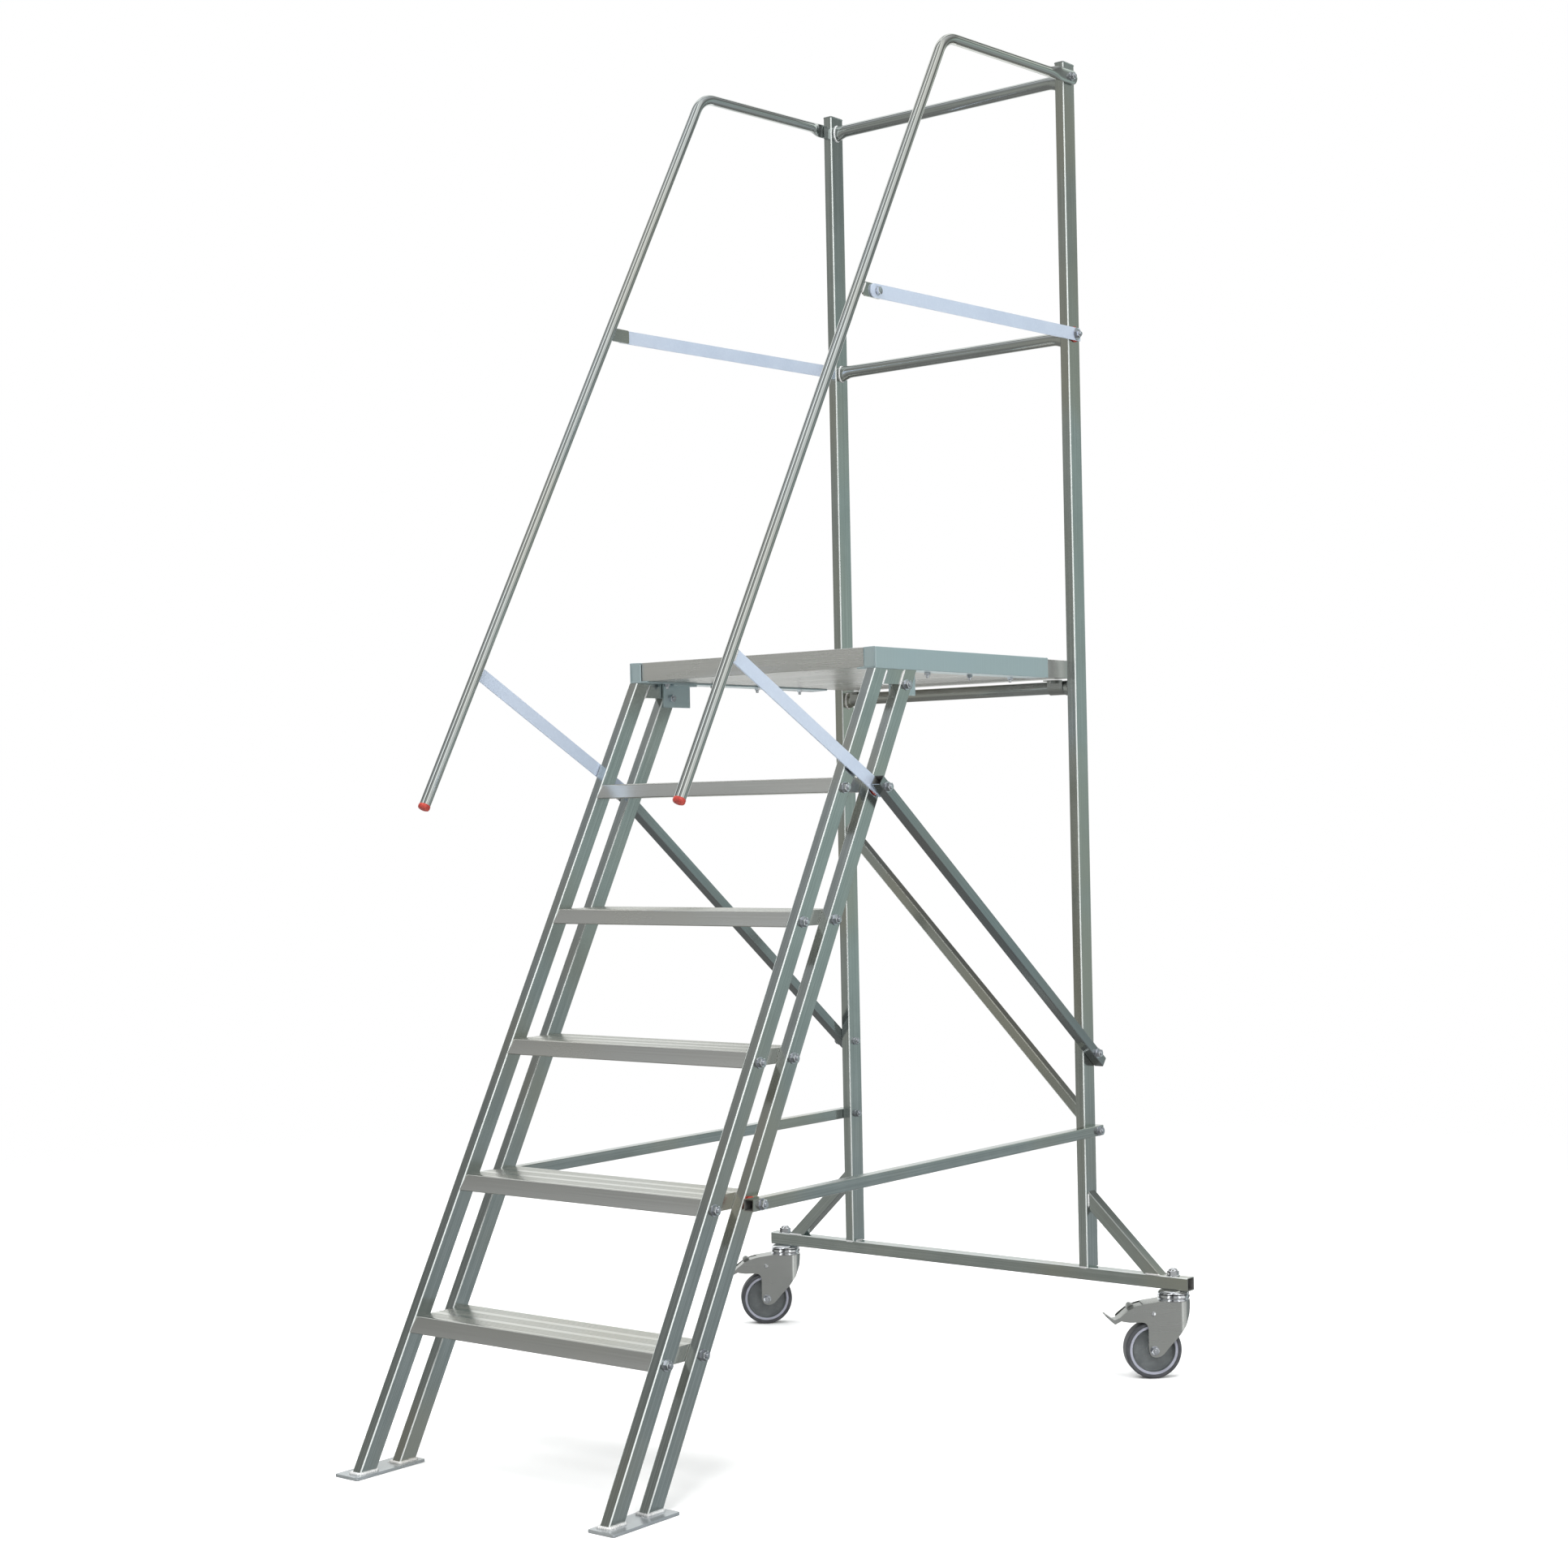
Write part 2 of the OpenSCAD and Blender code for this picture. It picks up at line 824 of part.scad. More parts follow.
module caster_stem(side) {
  nut_h = 8;
  color(chrome)
    at_caster(side)
      union() {
        translate([0, 0, beam_low - cup_h])
          cylinder(h = cup_h, r = cup_r, $fn = FINE);
        translate([0, 0, beam_low - 1])
          cylinder(h = beam_s + nut_h + 4, r = stem_r, $fn = ROUND);
        translate([0, 0, king_low])
          cylinder(h = beam_low - cup_h - king_low + 1, r = king_r, $fn = ROUND);
        translate([0, 0, king_low])
          cylinder(h = ring_low - crown_t - pad - king_low, r = king_head, $fn = ROUND);
        translate([0, 0, beam_top])
          cylinder(h = nut_h, r = 10.4, $fn = 6);
      }
}

// Side outline of the fork: distance from the stem, height
module fork_outline() {
  polygon([[-31, ring_low + 2], [-30.5, 138], [-28, 122], [-20, 100], [-5.5, 80],
           [12, 62], [26, 46], [34, 41.5], [43, 41], [50, 44.5], [54, 54],
           [54, 98], [58, 106], [66, 108.5], [89, 108.5], [104, 111], [111, 115],
           [107, 120], [91, 132], [75, 139], [59, 143], [43, 145],
           [30, ring_low + 2]]);
}

module fork(side) {
  shell_back = -9;
  color(zinc)
    at_caster(side)
      difference() {
        union() {
          intersection() {
            rotate([90, 0, 0])
              linear_extrude(height = fork_w, center = true)
                fork_outline();
            union() {
              translate([shell_back, 0, 0])
                cylinder(h = 300, r = fork_w / 2, $fn = FINE);
              translate([shell_back, -fork_w / 2, 0])
                cube([200, fork_w, 300]);
            }
          }
          translate([0, 0, ring_low])
            cylinder(h = ring_h, r = ring_r, $fn = FINE);
          cross_pin(rivet_t, rivet_z, rivet_r, fork_w + 3);
        }
        difference() {
          union() {
            translate([shell_back, 0, -1])
              cylinder(h = ring_low - crown_t + 1, r = fork_gap / 2, $fn = FINE);
            translate([shell_back, -fork_gap / 2, -1])
              cube([300, fork_gap, ring_low - crown_t + 1]);
          }
          cross_pin(rivet_t, rivet_z, rivet_r, fork_w);
        }
        translate([0, 0, ring_low + crown_t])
          cylinder(h = ring_h, r = cup_r - 12, $fn = FINE);
        translate([0, 0, ring_low - crown_t - 1])
          cylinder(h = 2 * crown_t + 2, r = king_r + pad, $fn = ROUND);
        cross_pin(trail, wheel_r, bolt_r + 0.1, fork_w + 20);
      }
}

module axle(side) {
  nut_h = 6.5;
  color(bright_zinc)
    at_caster(side)
      union() {
        cross_pin(trail, wheel_r, bolt_r, fork_w + 4);
        for (turn = SIDES)
          translate([trail, turn * (fork_w / 2 + nut_h / 2 + 0.05), wheel_r])
            rotate([90, 0, 0])
              cylinder(h = nut_h, r = head_r, center = true, $fn = 6);
      }
}

module hub(side) {
  web_t = 12;
  boss_r = 11;
  color(rim_grey)
    at_caster(side)
      translate([trail, 0, wheel_r])
        rotate([90, 0, 0])
          difference() {
            union() {
              cylinder(h = hub_w, r = hub_r, center = true, $fn = 96);
              cylinder(h = fork_gap - 1.6, r = boss_r, center = true, $fn = FINE);
            }
            for (face = SIDES)
              translate([0, 0, face * (web_t / 2 + 10)])
                difference() {
                  cylinder(h = 20, r = rim_in, center = true, $fn = 96);
                  cylinder(h = 22, r = boss_r, center = true, $fn = FINE);
                }
            cylinder(h = 60, r = bolt_r + 0.05, center = true, $fn = ROUND);
          }
}

module tyre(side) {
  half = tyre_w / 2;
  shoulder = 4;
  color(rubber)
    at_caster(side)
      translate([trail, 0, wheel_r])
        rotate([90, 0, 0])
          rotate_extrude($fn = 128)
            polygon([[hub_r, -half + 1], [wheel_r - shoulder, -half],
                     [wheel_r - 1.2, -half + shoulder], [wheel_r, -half + 2 * shoulder],
                     [wheel_r, half - 2 * shoulder], [wheel_r - 1.2, half - shoulder],
                     [wheel_r - shoulder, half], [hub_r, half - 1]]);
}

// Brake lever: a barrel on the fork's rivet, an arm, a roller and a hooked tip
module pedal(side) {
  arm_w = 28;
  barrel_r = 6.5;
  roller_r = 7.5;
  roller_t = 88;
  roller_z = 136;
  color(zinc)
    at_caster(side)
      difference() {
        union() {
          cross_pin(rivet_t, rivet_z, barrel_r, arm_w, FINE);
          rotate([90, 0, 0])
            linear_extrude(height = arm_w, center = true)
              polygon([[rivet_t, 127], [rivet_t, 121], [96, 119], [108, 108],
                       [116, 104], [120, 107], [136, 122], [133.5, 124.5],
                       [118, 113], [112, 113], [98, 126], [94, 134], [82, 134],
                       [76, 127]]);
          cross_pin(roller_t, roller_z, roller_r, arm_w, FINE);
        }
        cross_pin(rivet_t, rivet_z, rivet_r + pin_gap, arm_w + 10);
      }
}

// ---- nodes ----------------------------------------------------------------

foot_plate(-1);  // foot_plate_left
foot_plate(1);  // foot_plate_right
stile_front(-1);  // stile_front_left
stile_front(1);  // stile_front_right
stile_rear(-1);  // stile_rear_left
stile_rear(1);  // stile_rear_right
stile_spacers();
tread(1);  // tread_1
tread(2);  // tread_2
tread(3);  // tread_3
tread(4);  // tread_4
tread(5);  // tread_5
tread_bolts();
deck_plank(1);  // deck_plank_1
deck_plank(2);  // deck_plank_2
deck_plank(3);  // deck_plank_3
deck_plank(4);  // deck_plank_4
deck_plank(5);  // deck_plank_5
deck_channel(-1);  // deck_channel_left
deck_channel(1);  // deck_channel_right
deck_brackets();
deck_bolts();
deck_rail();
deck_clips();
mast(-1);  // mast_left
mast(1);  // mast_right
mast_caps();
base_beam();
gusset(-1);  // gusset_left
gusset(1);  // gusset_right
rear_diagonal();
rear_top_rail();
rear_mid_rail();
handrail(-1);  // handrail_left
handrail(1);  // handrail_right
handrail_plugs();
handrail_tabs();
stay_upper(-1);  // stay_upper_left
stay_upper(1);  // stay_upper_right
stay_lower(-1);  // stay_lower_left
stay_lower(1);  // stay_lower_right
side_brace(-1);  // side_brace_left
side_brace(1);  // side_brace_right
lower_brace(-1);  // lower_brace_left
lower_brace(1);  // lower_brace_right
brace_bolts();
brace_nuts();
spacer_washers();
caster_stem(-1);  // caster_stem_left
caster_stem(1);  // caster_stem_right
fork(-1);  // fork_left
fork(1);  // fork_right
axle(-1);  // axle_left
axle(1);  // axle_right
hub(-1);  // hub_left
hub(1);  // hub_right
tyre(-1);  // tyre_left
tyre(1);  // tyre_right
pedal(-1);  // pedal_left
pedal(1);  // pedal_right
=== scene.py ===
"""Looks of the rolling warehouse ladder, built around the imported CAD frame."""

import math
import random

import bmesh
import bpy
from mathutils import Matrix, Vector
from mathutils.geometry import tessellate_polygon


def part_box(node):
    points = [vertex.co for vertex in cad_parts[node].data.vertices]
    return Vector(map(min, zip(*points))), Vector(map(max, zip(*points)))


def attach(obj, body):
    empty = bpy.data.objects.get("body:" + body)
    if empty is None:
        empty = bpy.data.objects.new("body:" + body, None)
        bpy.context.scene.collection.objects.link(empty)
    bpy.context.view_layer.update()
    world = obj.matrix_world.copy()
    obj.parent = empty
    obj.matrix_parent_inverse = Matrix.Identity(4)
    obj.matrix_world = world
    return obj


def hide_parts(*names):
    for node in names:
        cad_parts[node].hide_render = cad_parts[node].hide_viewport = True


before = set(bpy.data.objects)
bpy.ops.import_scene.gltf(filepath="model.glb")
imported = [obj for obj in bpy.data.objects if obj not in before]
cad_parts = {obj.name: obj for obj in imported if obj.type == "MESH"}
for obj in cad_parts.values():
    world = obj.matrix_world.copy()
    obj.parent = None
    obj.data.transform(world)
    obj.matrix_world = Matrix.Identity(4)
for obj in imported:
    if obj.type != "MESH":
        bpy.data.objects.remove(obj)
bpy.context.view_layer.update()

MM = 0.001
SIDES = (("left", -1), ("right", 1))
X, Y, Z = Vector((1, 0, 0)), Vector((0, 1, 0)), Vector((0, 0, 1))
rng = random.Random(7)


def corner(node, which):
    """Corner of a CAD node's box, in millimetres."""
    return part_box(node)[which] / MM


def rad(degrees):
    return math.radians(degrees)


# ---- camera -------------------------------------------------------------------

def make_camera():
    """Camera where the photo was taken from, fitted to points seen in it."""
    azimuth, pitch, roll = rad(38.33), rad(-0.35), rad(-1.138)
    side = Vector((math.cos(azimuth), math.sin(azimuth), 0))
    ahead = Vector((-math.sin(azimuth) * math.cos(pitch),
                    math.cos(azimuth) * math.cos(pitch), -math.sin(pitch)))
    above = side.cross(ahead)
    right = math.cos(roll) * side + math.sin(roll) * above
    up = -math.sin(roll) * side + math.cos(roll) * above
    data = bpy.data.cameras.new("view")
    data.sensor_width = 36.0
    data.lens = 57.47
    data.shift_x = -0.0087
    data.shift_y = 0.0102
    data.clip_end = 100.0
    cam = bpy.data.objects.new("view", data)
    cam.matrix_world = Matrix.Translation((2.88806, -2.78705, 1.08234)) @ Matrix(
        (right, up, -ahead)).transposed().to_4x4()
    bpy.context.scene.collection.objects.link(cam)
    bpy.context.scene.camera = cam


make_camera()

# ---- node helpers ---------------------------------------------------------------


class Nodes:
    """Shorthand for building a node tree."""

    def __init__(self, tree):
        self.tree = tree

    def add(self, kind, **settings):
        node = self.tree.nodes.new(kind)
        inputs = settings.pop("inputs", {})
        for key, value in settings.items():
            setattr(node, key, value)
        for key, value in inputs.items():
            if isinstance(value, bpy.types.NodeSocket):
                self.tree.links.new(value, node.inputs[key])
            else:
                node.inputs[key].default_value = value
        return node

    def maths(self, operation, a, b=0.0, clamp=False):
        return self.add("ShaderNodeMath", operation=operation, use_clamp=clamp,
                        inputs={0: a, 1: b}).outputs[0]

    def spread(self, value, low, high, to_low=0.0, to_high=1.0, smooth=True):
        """The value carried from one range to another, held inside it."""
        return self.add("ShaderNodeMapRange", clamp=True,
                        interpolation_type="SMOOTHSTEP" if smooth else "LINEAR",
                        inputs={"Value": value, "From Min": low, "From Max": high,
                                "To Min": to_low, "To Max": to_high}).outputs[0]

    def noise(self, vector, scale, detail=3.0, rough=0.5):
        return self.add("ShaderNodeTexNoise", inputs={
            "Vector": vector, "Scale": scale, "Detail": detail, "Roughness": rough}).outputs[0]

    def stretched(self, vector, scale):
        return self.add("ShaderNodeMapping", inputs={"Vector": vector, "Scale": scale}).outputs[0]

    def mix(self, factor, a, b):
        """Blend of two colours, each a socket or three numbers."""
        node = self.add("ShaderNodeMix", data_type="RGBA")
        for index, value in ((0, factor), (6, a), (7, b)):
            if isinstance(value, bpy.types.NodeSocket):
                self.tree.links.new(value, node.inputs[index])
            elif index == 0:
                node.inputs[index].default_value = value
            else:
                node.inputs[index].default_value = (*value, 1.0)
        return node.outputs[2]

    def link(self, a, b):
        self.tree.links.new(a, b)


def new_material(name):
    material = bpy.data.materials.new(name)
    material.use_nodes = True
    material.node_tree.nodes.clear()
    nodes = Nodes(material.node_tree)
    shader = nodes.add("ShaderNodeBsdfPrincipled")
    out = nodes.add("ShaderNodeOutputMaterial")
    nodes.link(shader.outputs[0], out.inputs[0])
    return material, nodes, shader


def metal(name, light, dark, tint, rough, streak, cloud, bump, spangle=0.0, wave=0.0,
          metallic=1.0, across=900.0):
    """Plated or mill-finish metal: streaks drawn along each piece, clouding, fine scratches.

    streak and cloud say how much of the shade each gives; across is the streaks' number per metre.
    """
    material, n, shader = new_material(name)
    where = n.add("ShaderNodeTexCoord")
    uv, at = where.outputs["UV"], where.outputs["Object"]
    lines = n.noise(n.stretched(uv, (2.0, across, 1.0)), 1.0, 4.0, 0.6)
    fine = n.noise(n.stretched(uv, (9.0, across * 2.2, 1.0)), 1.0, 2.0, 0.6)
    clouds = n.noise(at, 14.0, 4.0, 0.6)
    patches = n.noise(at, 3.1, 2.0, 0.5)
    grain = n.noise(at, 420.0, 3.0, 0.6)
    shade = n.maths("ADD", n.maths("MULTIPLY", lines, streak),
                    n.maths("MULTIPLY", clouds, cloud))
    shade = n.spread(n.maths("ADD", shade, n.maths("MULTIPLY", grain, 0.06)),
                     0.35 * (streak + cloud) + 0.04, 0.65 * (streak + cloud) + 0.07)
    colour = n.mix(shade, dark, light)
    colour = n.mix(n.spread(patches, 0.42, 0.68, 0.0, 0.75), colour, tint)
    marks = n.spread(n.noise(n.stretched(uv, (8.0, 90.0, 1.0)), 1.0, 3.0, 0.5), 0.58, 0.74)
    colour = n.mix(n.maths("MULTIPLY", marks, 0.05), colour, [c * 0.8 for c in dark])
    height = n.maths("ADD", n.maths("MULTIPLY", fine, 0.6), n.maths("MULTIPLY", grain, 0.4))
    if spangle:
        cells = n.add("ShaderNodeTexVoronoi", inputs={"Vector": at, "Scale": 260.0})
        value = n.add("ShaderNodeSeparateColor", inputs={0: cells.outputs["Color"]}).outputs[0]
        colour = n.mix(n.maths("MULTIPLY", n.spread(value, 0.55, 0.95), spangle), colour,
                       [min(1.0, c * 1.35) for c in light])
        height = n.maths("ADD", height, n.maths("MULTIPLY", value, 0.5 * spangle))
    n.link(colour, shader.inputs["Base Color"])
    roughness = n.spread(n.maths("ADD", n.maths("MULTIPLY", patches, 0.8),
                                 n.maths("MULTIPLY", lines, 0.2)),
                         0.3, 0.7, rough * 0.92, rough * 1.10)
    roughness = n.maths("ADD", roughness, n.maths("MULTIPLY", marks, 0.02))
    n.link(roughness, shader.inputs["Roughness"])
    relief = n.add("ShaderNodeBump", inputs={"Height": height, "Strength": bump, "Distance": 0.0002})
    if wave:
        swell = n.noise(at, 22.0, 1.0, 0.4)
        relief_low = n.add("ShaderNodeBump", inputs={
            "Height": swell, "Strength": wave, "Distance": 0.0012})
        n.link(relief_low.outputs[0], relief.inputs["Normal"])
    n.link(relief.outputs[0], shader.inputs["Normal"])
    shader.inputs["Metallic"].default_value = metallic
    shader.inputs["Specular IOR Level"].default_value = 0.5
    return material


def plastic(name, light, dark, rough, scale, bump, dust=None):
    """Moulded plastic or rubber: mottled colour, scuffs, fine moulded grain."""
    material, n, shader = new_material(name)
    at = n.add("ShaderNodeTexCoord").outputs["Object"]
    broad = n.noise(at, scale, 4.0, 0.55)
    fine = n.noise(at, scale * 14.0, 3.0, 0.6)
    scuff = n.spread(n.noise(n.stretched(at, (1.0, 1.0, 2.6)), scale * 3.0, 6.0, 0.7), 0.56, 0.72)
    colour = n.mix(n.spread(broad, 0.35, 0.65), dark, light)
    if dust:
        colour = n.mix(n.maths("MULTIPLY", scuff, 0.55), colour, dust)
    n.link(colour, shader.inputs["Base Color"])
    n.link(n.spread(n.maths("ADD", n.maths("MULTIPLY", broad, 0.5),
                             n.maths("MULTIPLY", scuff, 0.6)),
                     0.2, 0.8, rough * 0.85, min(1.0, rough * 1.25)), shader.inputs["Roughness"])
    relief = n.add("ShaderNodeBump", inputs={
        "Height": n.maths("ADD", fine, n.maths("MULTIPLY", broad, 0.4)),
        "Strength": bump, "Distance": 0.0003})
    n.link(relief.outputs[0], shader.inputs["Normal"])
    return material


MATS = {
    "zinc": metal("zinc_tube", (0.62, 0.66, 0.65), (0.46, 0.50, 0.49), (0.58, 0.56, 0.48),
                  0.17, 0.9, 0.3, 0.008, wave=0.008, across=380.0),
    # painted shade: a darker copy of the tube zinc, put on the side braces only
    "brace": metal("zinc_painted_shade", (0.44, 0.48, 0.49), (0.34, 0.38, 0.39), (0.42, 0.43, 0.42),
                   0.17, 0.9, 0.3, 0.008, wave=0.008, across=380.0),
    # painted highlight: a lighter, partly diffuse zinc for the tubes' corner strips, standing in for
    # their bright reflections
    "edge": metal("zinc_painted_highlight", (0.62, 0.65, 0.64), (0.52, 0.55, 0.54), (0.58, 0.60, 0.58),
                  0.22, 0.8, 0.3, 0.02, metallic=0.35),
    "rail": metal("handrail_zinc", (0.68, 0.71, 0.70), (0.54, 0.57, 0.56), (0.62, 0.62, 0.57),
                  0.10, 0.8, 0.2, 0.02, across=260.0),
    "bright": metal("zinc_bolt", (0.86, 0.88, 0.92), (0.60, 0.62, 0.66), (0.78, 0.80, 0.86),
                    0.16, 0.2, 0.6, 0.10),
    "flat": metal("zinc_flat_bar", (0.60, 0.67, 0.79), (0.47, 0.54, 0.67), (0.55, 0.61, 0.72),
                  0.36, 0.9, 0.25, 0.03, spangle=0.06, metallic=0.45, across=420.0),
    "tread": metal("tread_aluminium", (0.84, 0.84, 0.80), (0.78, 0.78, 0.74), (0.81, 0.795, 0.73),
                   0.25, 0.9, 0.06, 0.008, across=300.0),
    "deck": metal("deck_aluminium", (0.72, 0.715, 0.695), (0.675, 0.67, 0.65), (0.70, 0.685, 0.66),
                  0.28, 0.9, 0.06, 0.008, metallic=0.9, across=300.0),
    "channel": metal("channel_aluminium", (0.52, 0.62, 0.64), (0.485, 0.58, 0.60),
                     (0.49, 0.61, 0.65), 0.30, 0.8, 0.15, 0.01, metallic=0.8, across=300.0),
    "weld": metal("weld_bead", (0.92, 0.93, 0.94), (0.62, 0.62, 0.62), (0.80, 0.78, 0.75),
                  0.20, 0.1, 0.9, 0.20, metallic=0.6),
    "press": metal("pressed_zinc", (0.57, 0.58, 0.565), (0.52, 0.53, 0.515), (0.545, 0.55, 0.53),
                   0.26, 0.12, 0.5, 0.008, wave=0.01, across=60.0),
    "plate": metal("plate_zinc", (0.50, 0.53, 0.55), (0.42, 0.45, 0.47), (0.47, 0.49, 0.49),
                   0.25, 0.3, 0.6, 0.05, metallic=0.75),
    "chrome": metal("swivel_chrome", (0.90, 0.91, 0.93), (0.78, 0.79, 0.82), (0.86, 0.87, 0.90),
                    0.10, 0.1, 0.4, 0.05),
    "bore": plastic("tube_bore", (0.13, 0.13, 0.125), (0.085, 0.085, 0.08), 0.5, 40.0, 0.2),
    "red": plastic("red_plastic", (0.33, 0.04, 0.028), (0.23, 0.022, 0.018), 0.42, 90.0, 0.15,
                   dust=(0.44, 0.14, 0.11)),
    "tyre": plastic("tyre_rubber", (0.050, 0.052, 0.057), (0.035, 0.036, 0.041), 0.55, 60.0, 0.25,
                    dust=(0.095, 0.096, 0.104)),
    "rim": plastic("rim_plastic", (0.255, 0.262, 0.31), (0.205, 0.21, 0.25), 0.45, 45.0, 0.12,
                   dust=(0.36, 0.35, 0.40)),
    "hub": plastic("hub_plastic", (0.105, 0.115, 0.118), (0.082, 0.09, 0.093), 0.34, 45.0, 0.12,
                   dust=(0.20, 0.20, 0.20)),
}

# ---- mesh helpers ---------------------------------------------------------------

# the third tube material is the painted highlight, put on the corners that a tube's lit names
OUTSIDE, BORE, PAINTED_HIGHLIGHT = 0, 1, 2
TUBE_MATS = ("zinc", "bore", "edge")


class Shape:
    """Vertices in millimetres, with faces, their UVs in metres and their materials."""

    def __init__(self):
        self.verts, self.faces, self.uvs, self.mats = [], [], [], []

    def face(self, ids, uv=None, mat=0):
        self.faces.append(ids)
        self.uvs.append(uv or [(0.0, 0.0)] * len(ids))
        self.mats.append(mat)

    def points(self, points):
        start = len(self.verts)
        self.verts.extend(Vector(p) for p in points)
        return list(range(start, len(self.verts)))

    def rings(self, rings, mat=0, capped=True, loop=False):
        """Skin over rings with as many points each; a loop joins the last ring to the first."""
        ids = [self.points(r) for r in rings]
        count = len(rings[0])
        across = [0.0]
        for i in range(count):
            across.append(across[-1] + (Vector(rings[0][(i + 1) % count])
                                        - Vector(rings[0][i])).length * MM)
        along = 0.0
        spans = len(ids) if loop else len(ids) - 1
        for k in range(spans):
            following = (k + 1) % len(ids)
            step = (sum((Vector(p) for p in rings[following]), Vector())
                    - sum((Vector(p) for p in rings[k]), Vector())).length / count * MM
            for i in range(count):
                j = (i + 1) % count
                self.face([ids[k][i], ids[k][j], ids[following][j], ids[following][i]],
                          [(along, across[i]), (along, across[i + 1]),
                           (along + step, across[i + 1]), (along + step, across[i])], mat)
            along += step
        if capped and not loop:
            for ring in (ids[0], ids[-1]):
                self.face(list(ring), None, mat)
        return ids

    def join(self, first, second):
        """Band of faces between two rings that exist already."""
        count = len(first)
        for i in range(count):
            j = (i + 1) % count
            self.face([first[i], first[j], second[j], second[i]])

    def section(self, outline, place, length_vec):
        """Straight extrusion of an outline of 2D points; place sets them in space."""
        a, b = [self.points([place(*p) + offset for p in outline])
                for offset in (Vector(), length_vec)]
        length = length_vec.length * MM
        travelled = 0.0
        for i, p in enumerate(outline):
            j = (i + 1) % len(outline)
            step = math.dist(p, outline[j]) * MM
            self.face([a[i], a[j], b[j], b[i]],
                      [(0, travelled), (0, travelled + step),
                       (length, travelled + step), (length, travelled)])
            travelled += step
        for ids in (a, b):
            for tri in tessellate_polygon([[Vector((*p, 0)) for p in outline]]):
                self.face([ids[t] for t in tri])

    def moved(self, matrix):
        self.verts = [matrix @ v for v in self.verts]

    def take(self, other, mat_shift=0):
        start = len(self.verts)
        self.verts.extend(other.verts)
        for ids, uv, mat in zip(other.faces, other.uvs, other.mats):
            self.face([i + start for i in ids], uv, mat + mat_shift)


def build(shape, name, body, mats, replaces=(), slot=None, side=1, sharp=32.0, weighted=True,
          bevel=0.0):
    """Makes the piece, rides it on its body, and hides the CAD nodes it stands for."""
    mesh = bpy.data.meshes.new(name)
    flip = Vector((side, 1, 1))
    mesh.from_pydata([v * flip * MM for v in shape.verts], [], shape.faces)
    layer = mesh.uv_layers.new(name="along")
    loop = 0
    for uv in shape.uvs:
        for pair in uv:
            layer.data[loop].uv = pair
            loop += 1
    mesh.polygons.foreach_set("material_index", shape.mats)
    work = bmesh.new()
    work.from_mesh(mesh)
    bmesh.ops.remove_doubles(work, verts=work.verts, dist=1e-6)
    bmesh.ops.recalc_face_normals(work, faces=work.faces)
    if bevel:
        edges = [e for e in work.edges if len(e.link_faces) == 2
                 and e.calc_face_angle(0) > rad(40)]
        bmesh.ops.bevel(work, geom=edges, offset=bevel * MM, segments=2, profile=0.6,
                        affect="EDGES", clamp_overlap=True)
    work.to_mesh(mesh)
    work.free()
    mesh.shade_smooth()
    mesh.set_sharp_from_angle(angle=rad(sharp))
    piece = bpy.data.objects.new(name, mesh)
    bpy.context.scene.collection.objects.link(piece)
    for key in ([mats] if isinstance(mats, str) else mats):
        mesh.materials.append(MATS[key])
    if weighted:
        tidy = piece.modifiers.new("weighted", "WEIGHTED_NORMAL")
        tidy.keep_sharp = True
    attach(piece, body)
    if replaces:
        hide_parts(*replaces)
    return piece


def arc(cx, cz, r, start, end, steps=4):
    """Points along an arc between two angles in degrees."""
    return [(cx + r * math.cos(rad(start + (end - start) * k / steps)),
             cz + r * math.sin(rad(start + (end - start) * k / steps))) for k in range(steps + 1)]


def rounded(w, d, r, steps=4, cx=0.0, cy=0.0):
    """Rectangle w by d with rounded corners, as a list of 2D points."""
    points = []
    for sx, sy, start in ((1, 1, 0), (-1, 1, 90), (-1, -1, 180), (1, -1, 270)):
        points += arc(cx + sx * (w / 2 - r), cy + sy * (d / 2 - r), r, start, start + 90, steps)
    return points


def turns(steps):
    """Equal steps of angle round a full turn."""
    return [2 * math.pi * k / steps for k in range(steps)]


def meet(point, axis, plane):
    """Where the line from point along axis meets a plane (point, normal)."""
    base, normal = plane
    return point + axis * ((base - point).dot(normal) / axis.dot(normal))


def square_to(out):
    """A direction made unit length, and two more that are square to it."""
    out = out.normalized()
    u = out.cross(Z if abs(out.z) < 0.9 else Y).normalized()
    return out, u, out.cross(u)


def circle(centre, u, v, r, steps):
    return [centre + (u * math.cos(a) + v * math.sin(a)) * r for a in turns(steps)]


def tube(shape, w, d, origin, axis, u, v, planes, r=1.7, lit=(2, 3)):
    """Hollow rounded box tube between two planes; lit names the corners that get the painted
    highlight line.
    """
    axis = axis.normalized()
    steps = 4
    rings = []
    for size, radius in (((w, d), r), ((w - 2 * WALL, d - 2 * WALL), max(0.4, r - WALL))):
        profile = rounded(*size, radius, steps)
        rings.append([[meet(origin + u * a + v * b, axis, plane) for a, b in profile]
                      for plane in planes])
    first = len(shape.mats)
    outer = shape.rings(rings[0], OUTSIDE, capped=False)
    # the corners named in lit take the painted highlight material
    for turn in lit:
        for k in range(turn * (steps + 1), turn * (steps + 1) + steps):
            shape.mats[first + k] = PAINTED_HIGHLIGHT
    inner = shape.rings(rings[1], BORE, capped=False)
    for end in (0, 1):
        shape.join(outer[end], inner[end])


def lathe(shape, profile, place, steps=48, mat=0, loop=False):
    """Turns a profile of (radius, height) about an axis; place maps (x, y, h) to a point."""
    shape.rings([[place(r * math.cos(a), r * math.sin(a), h) for a in turns(steps)]
                 for r, h in profile], mat, loop=loop)


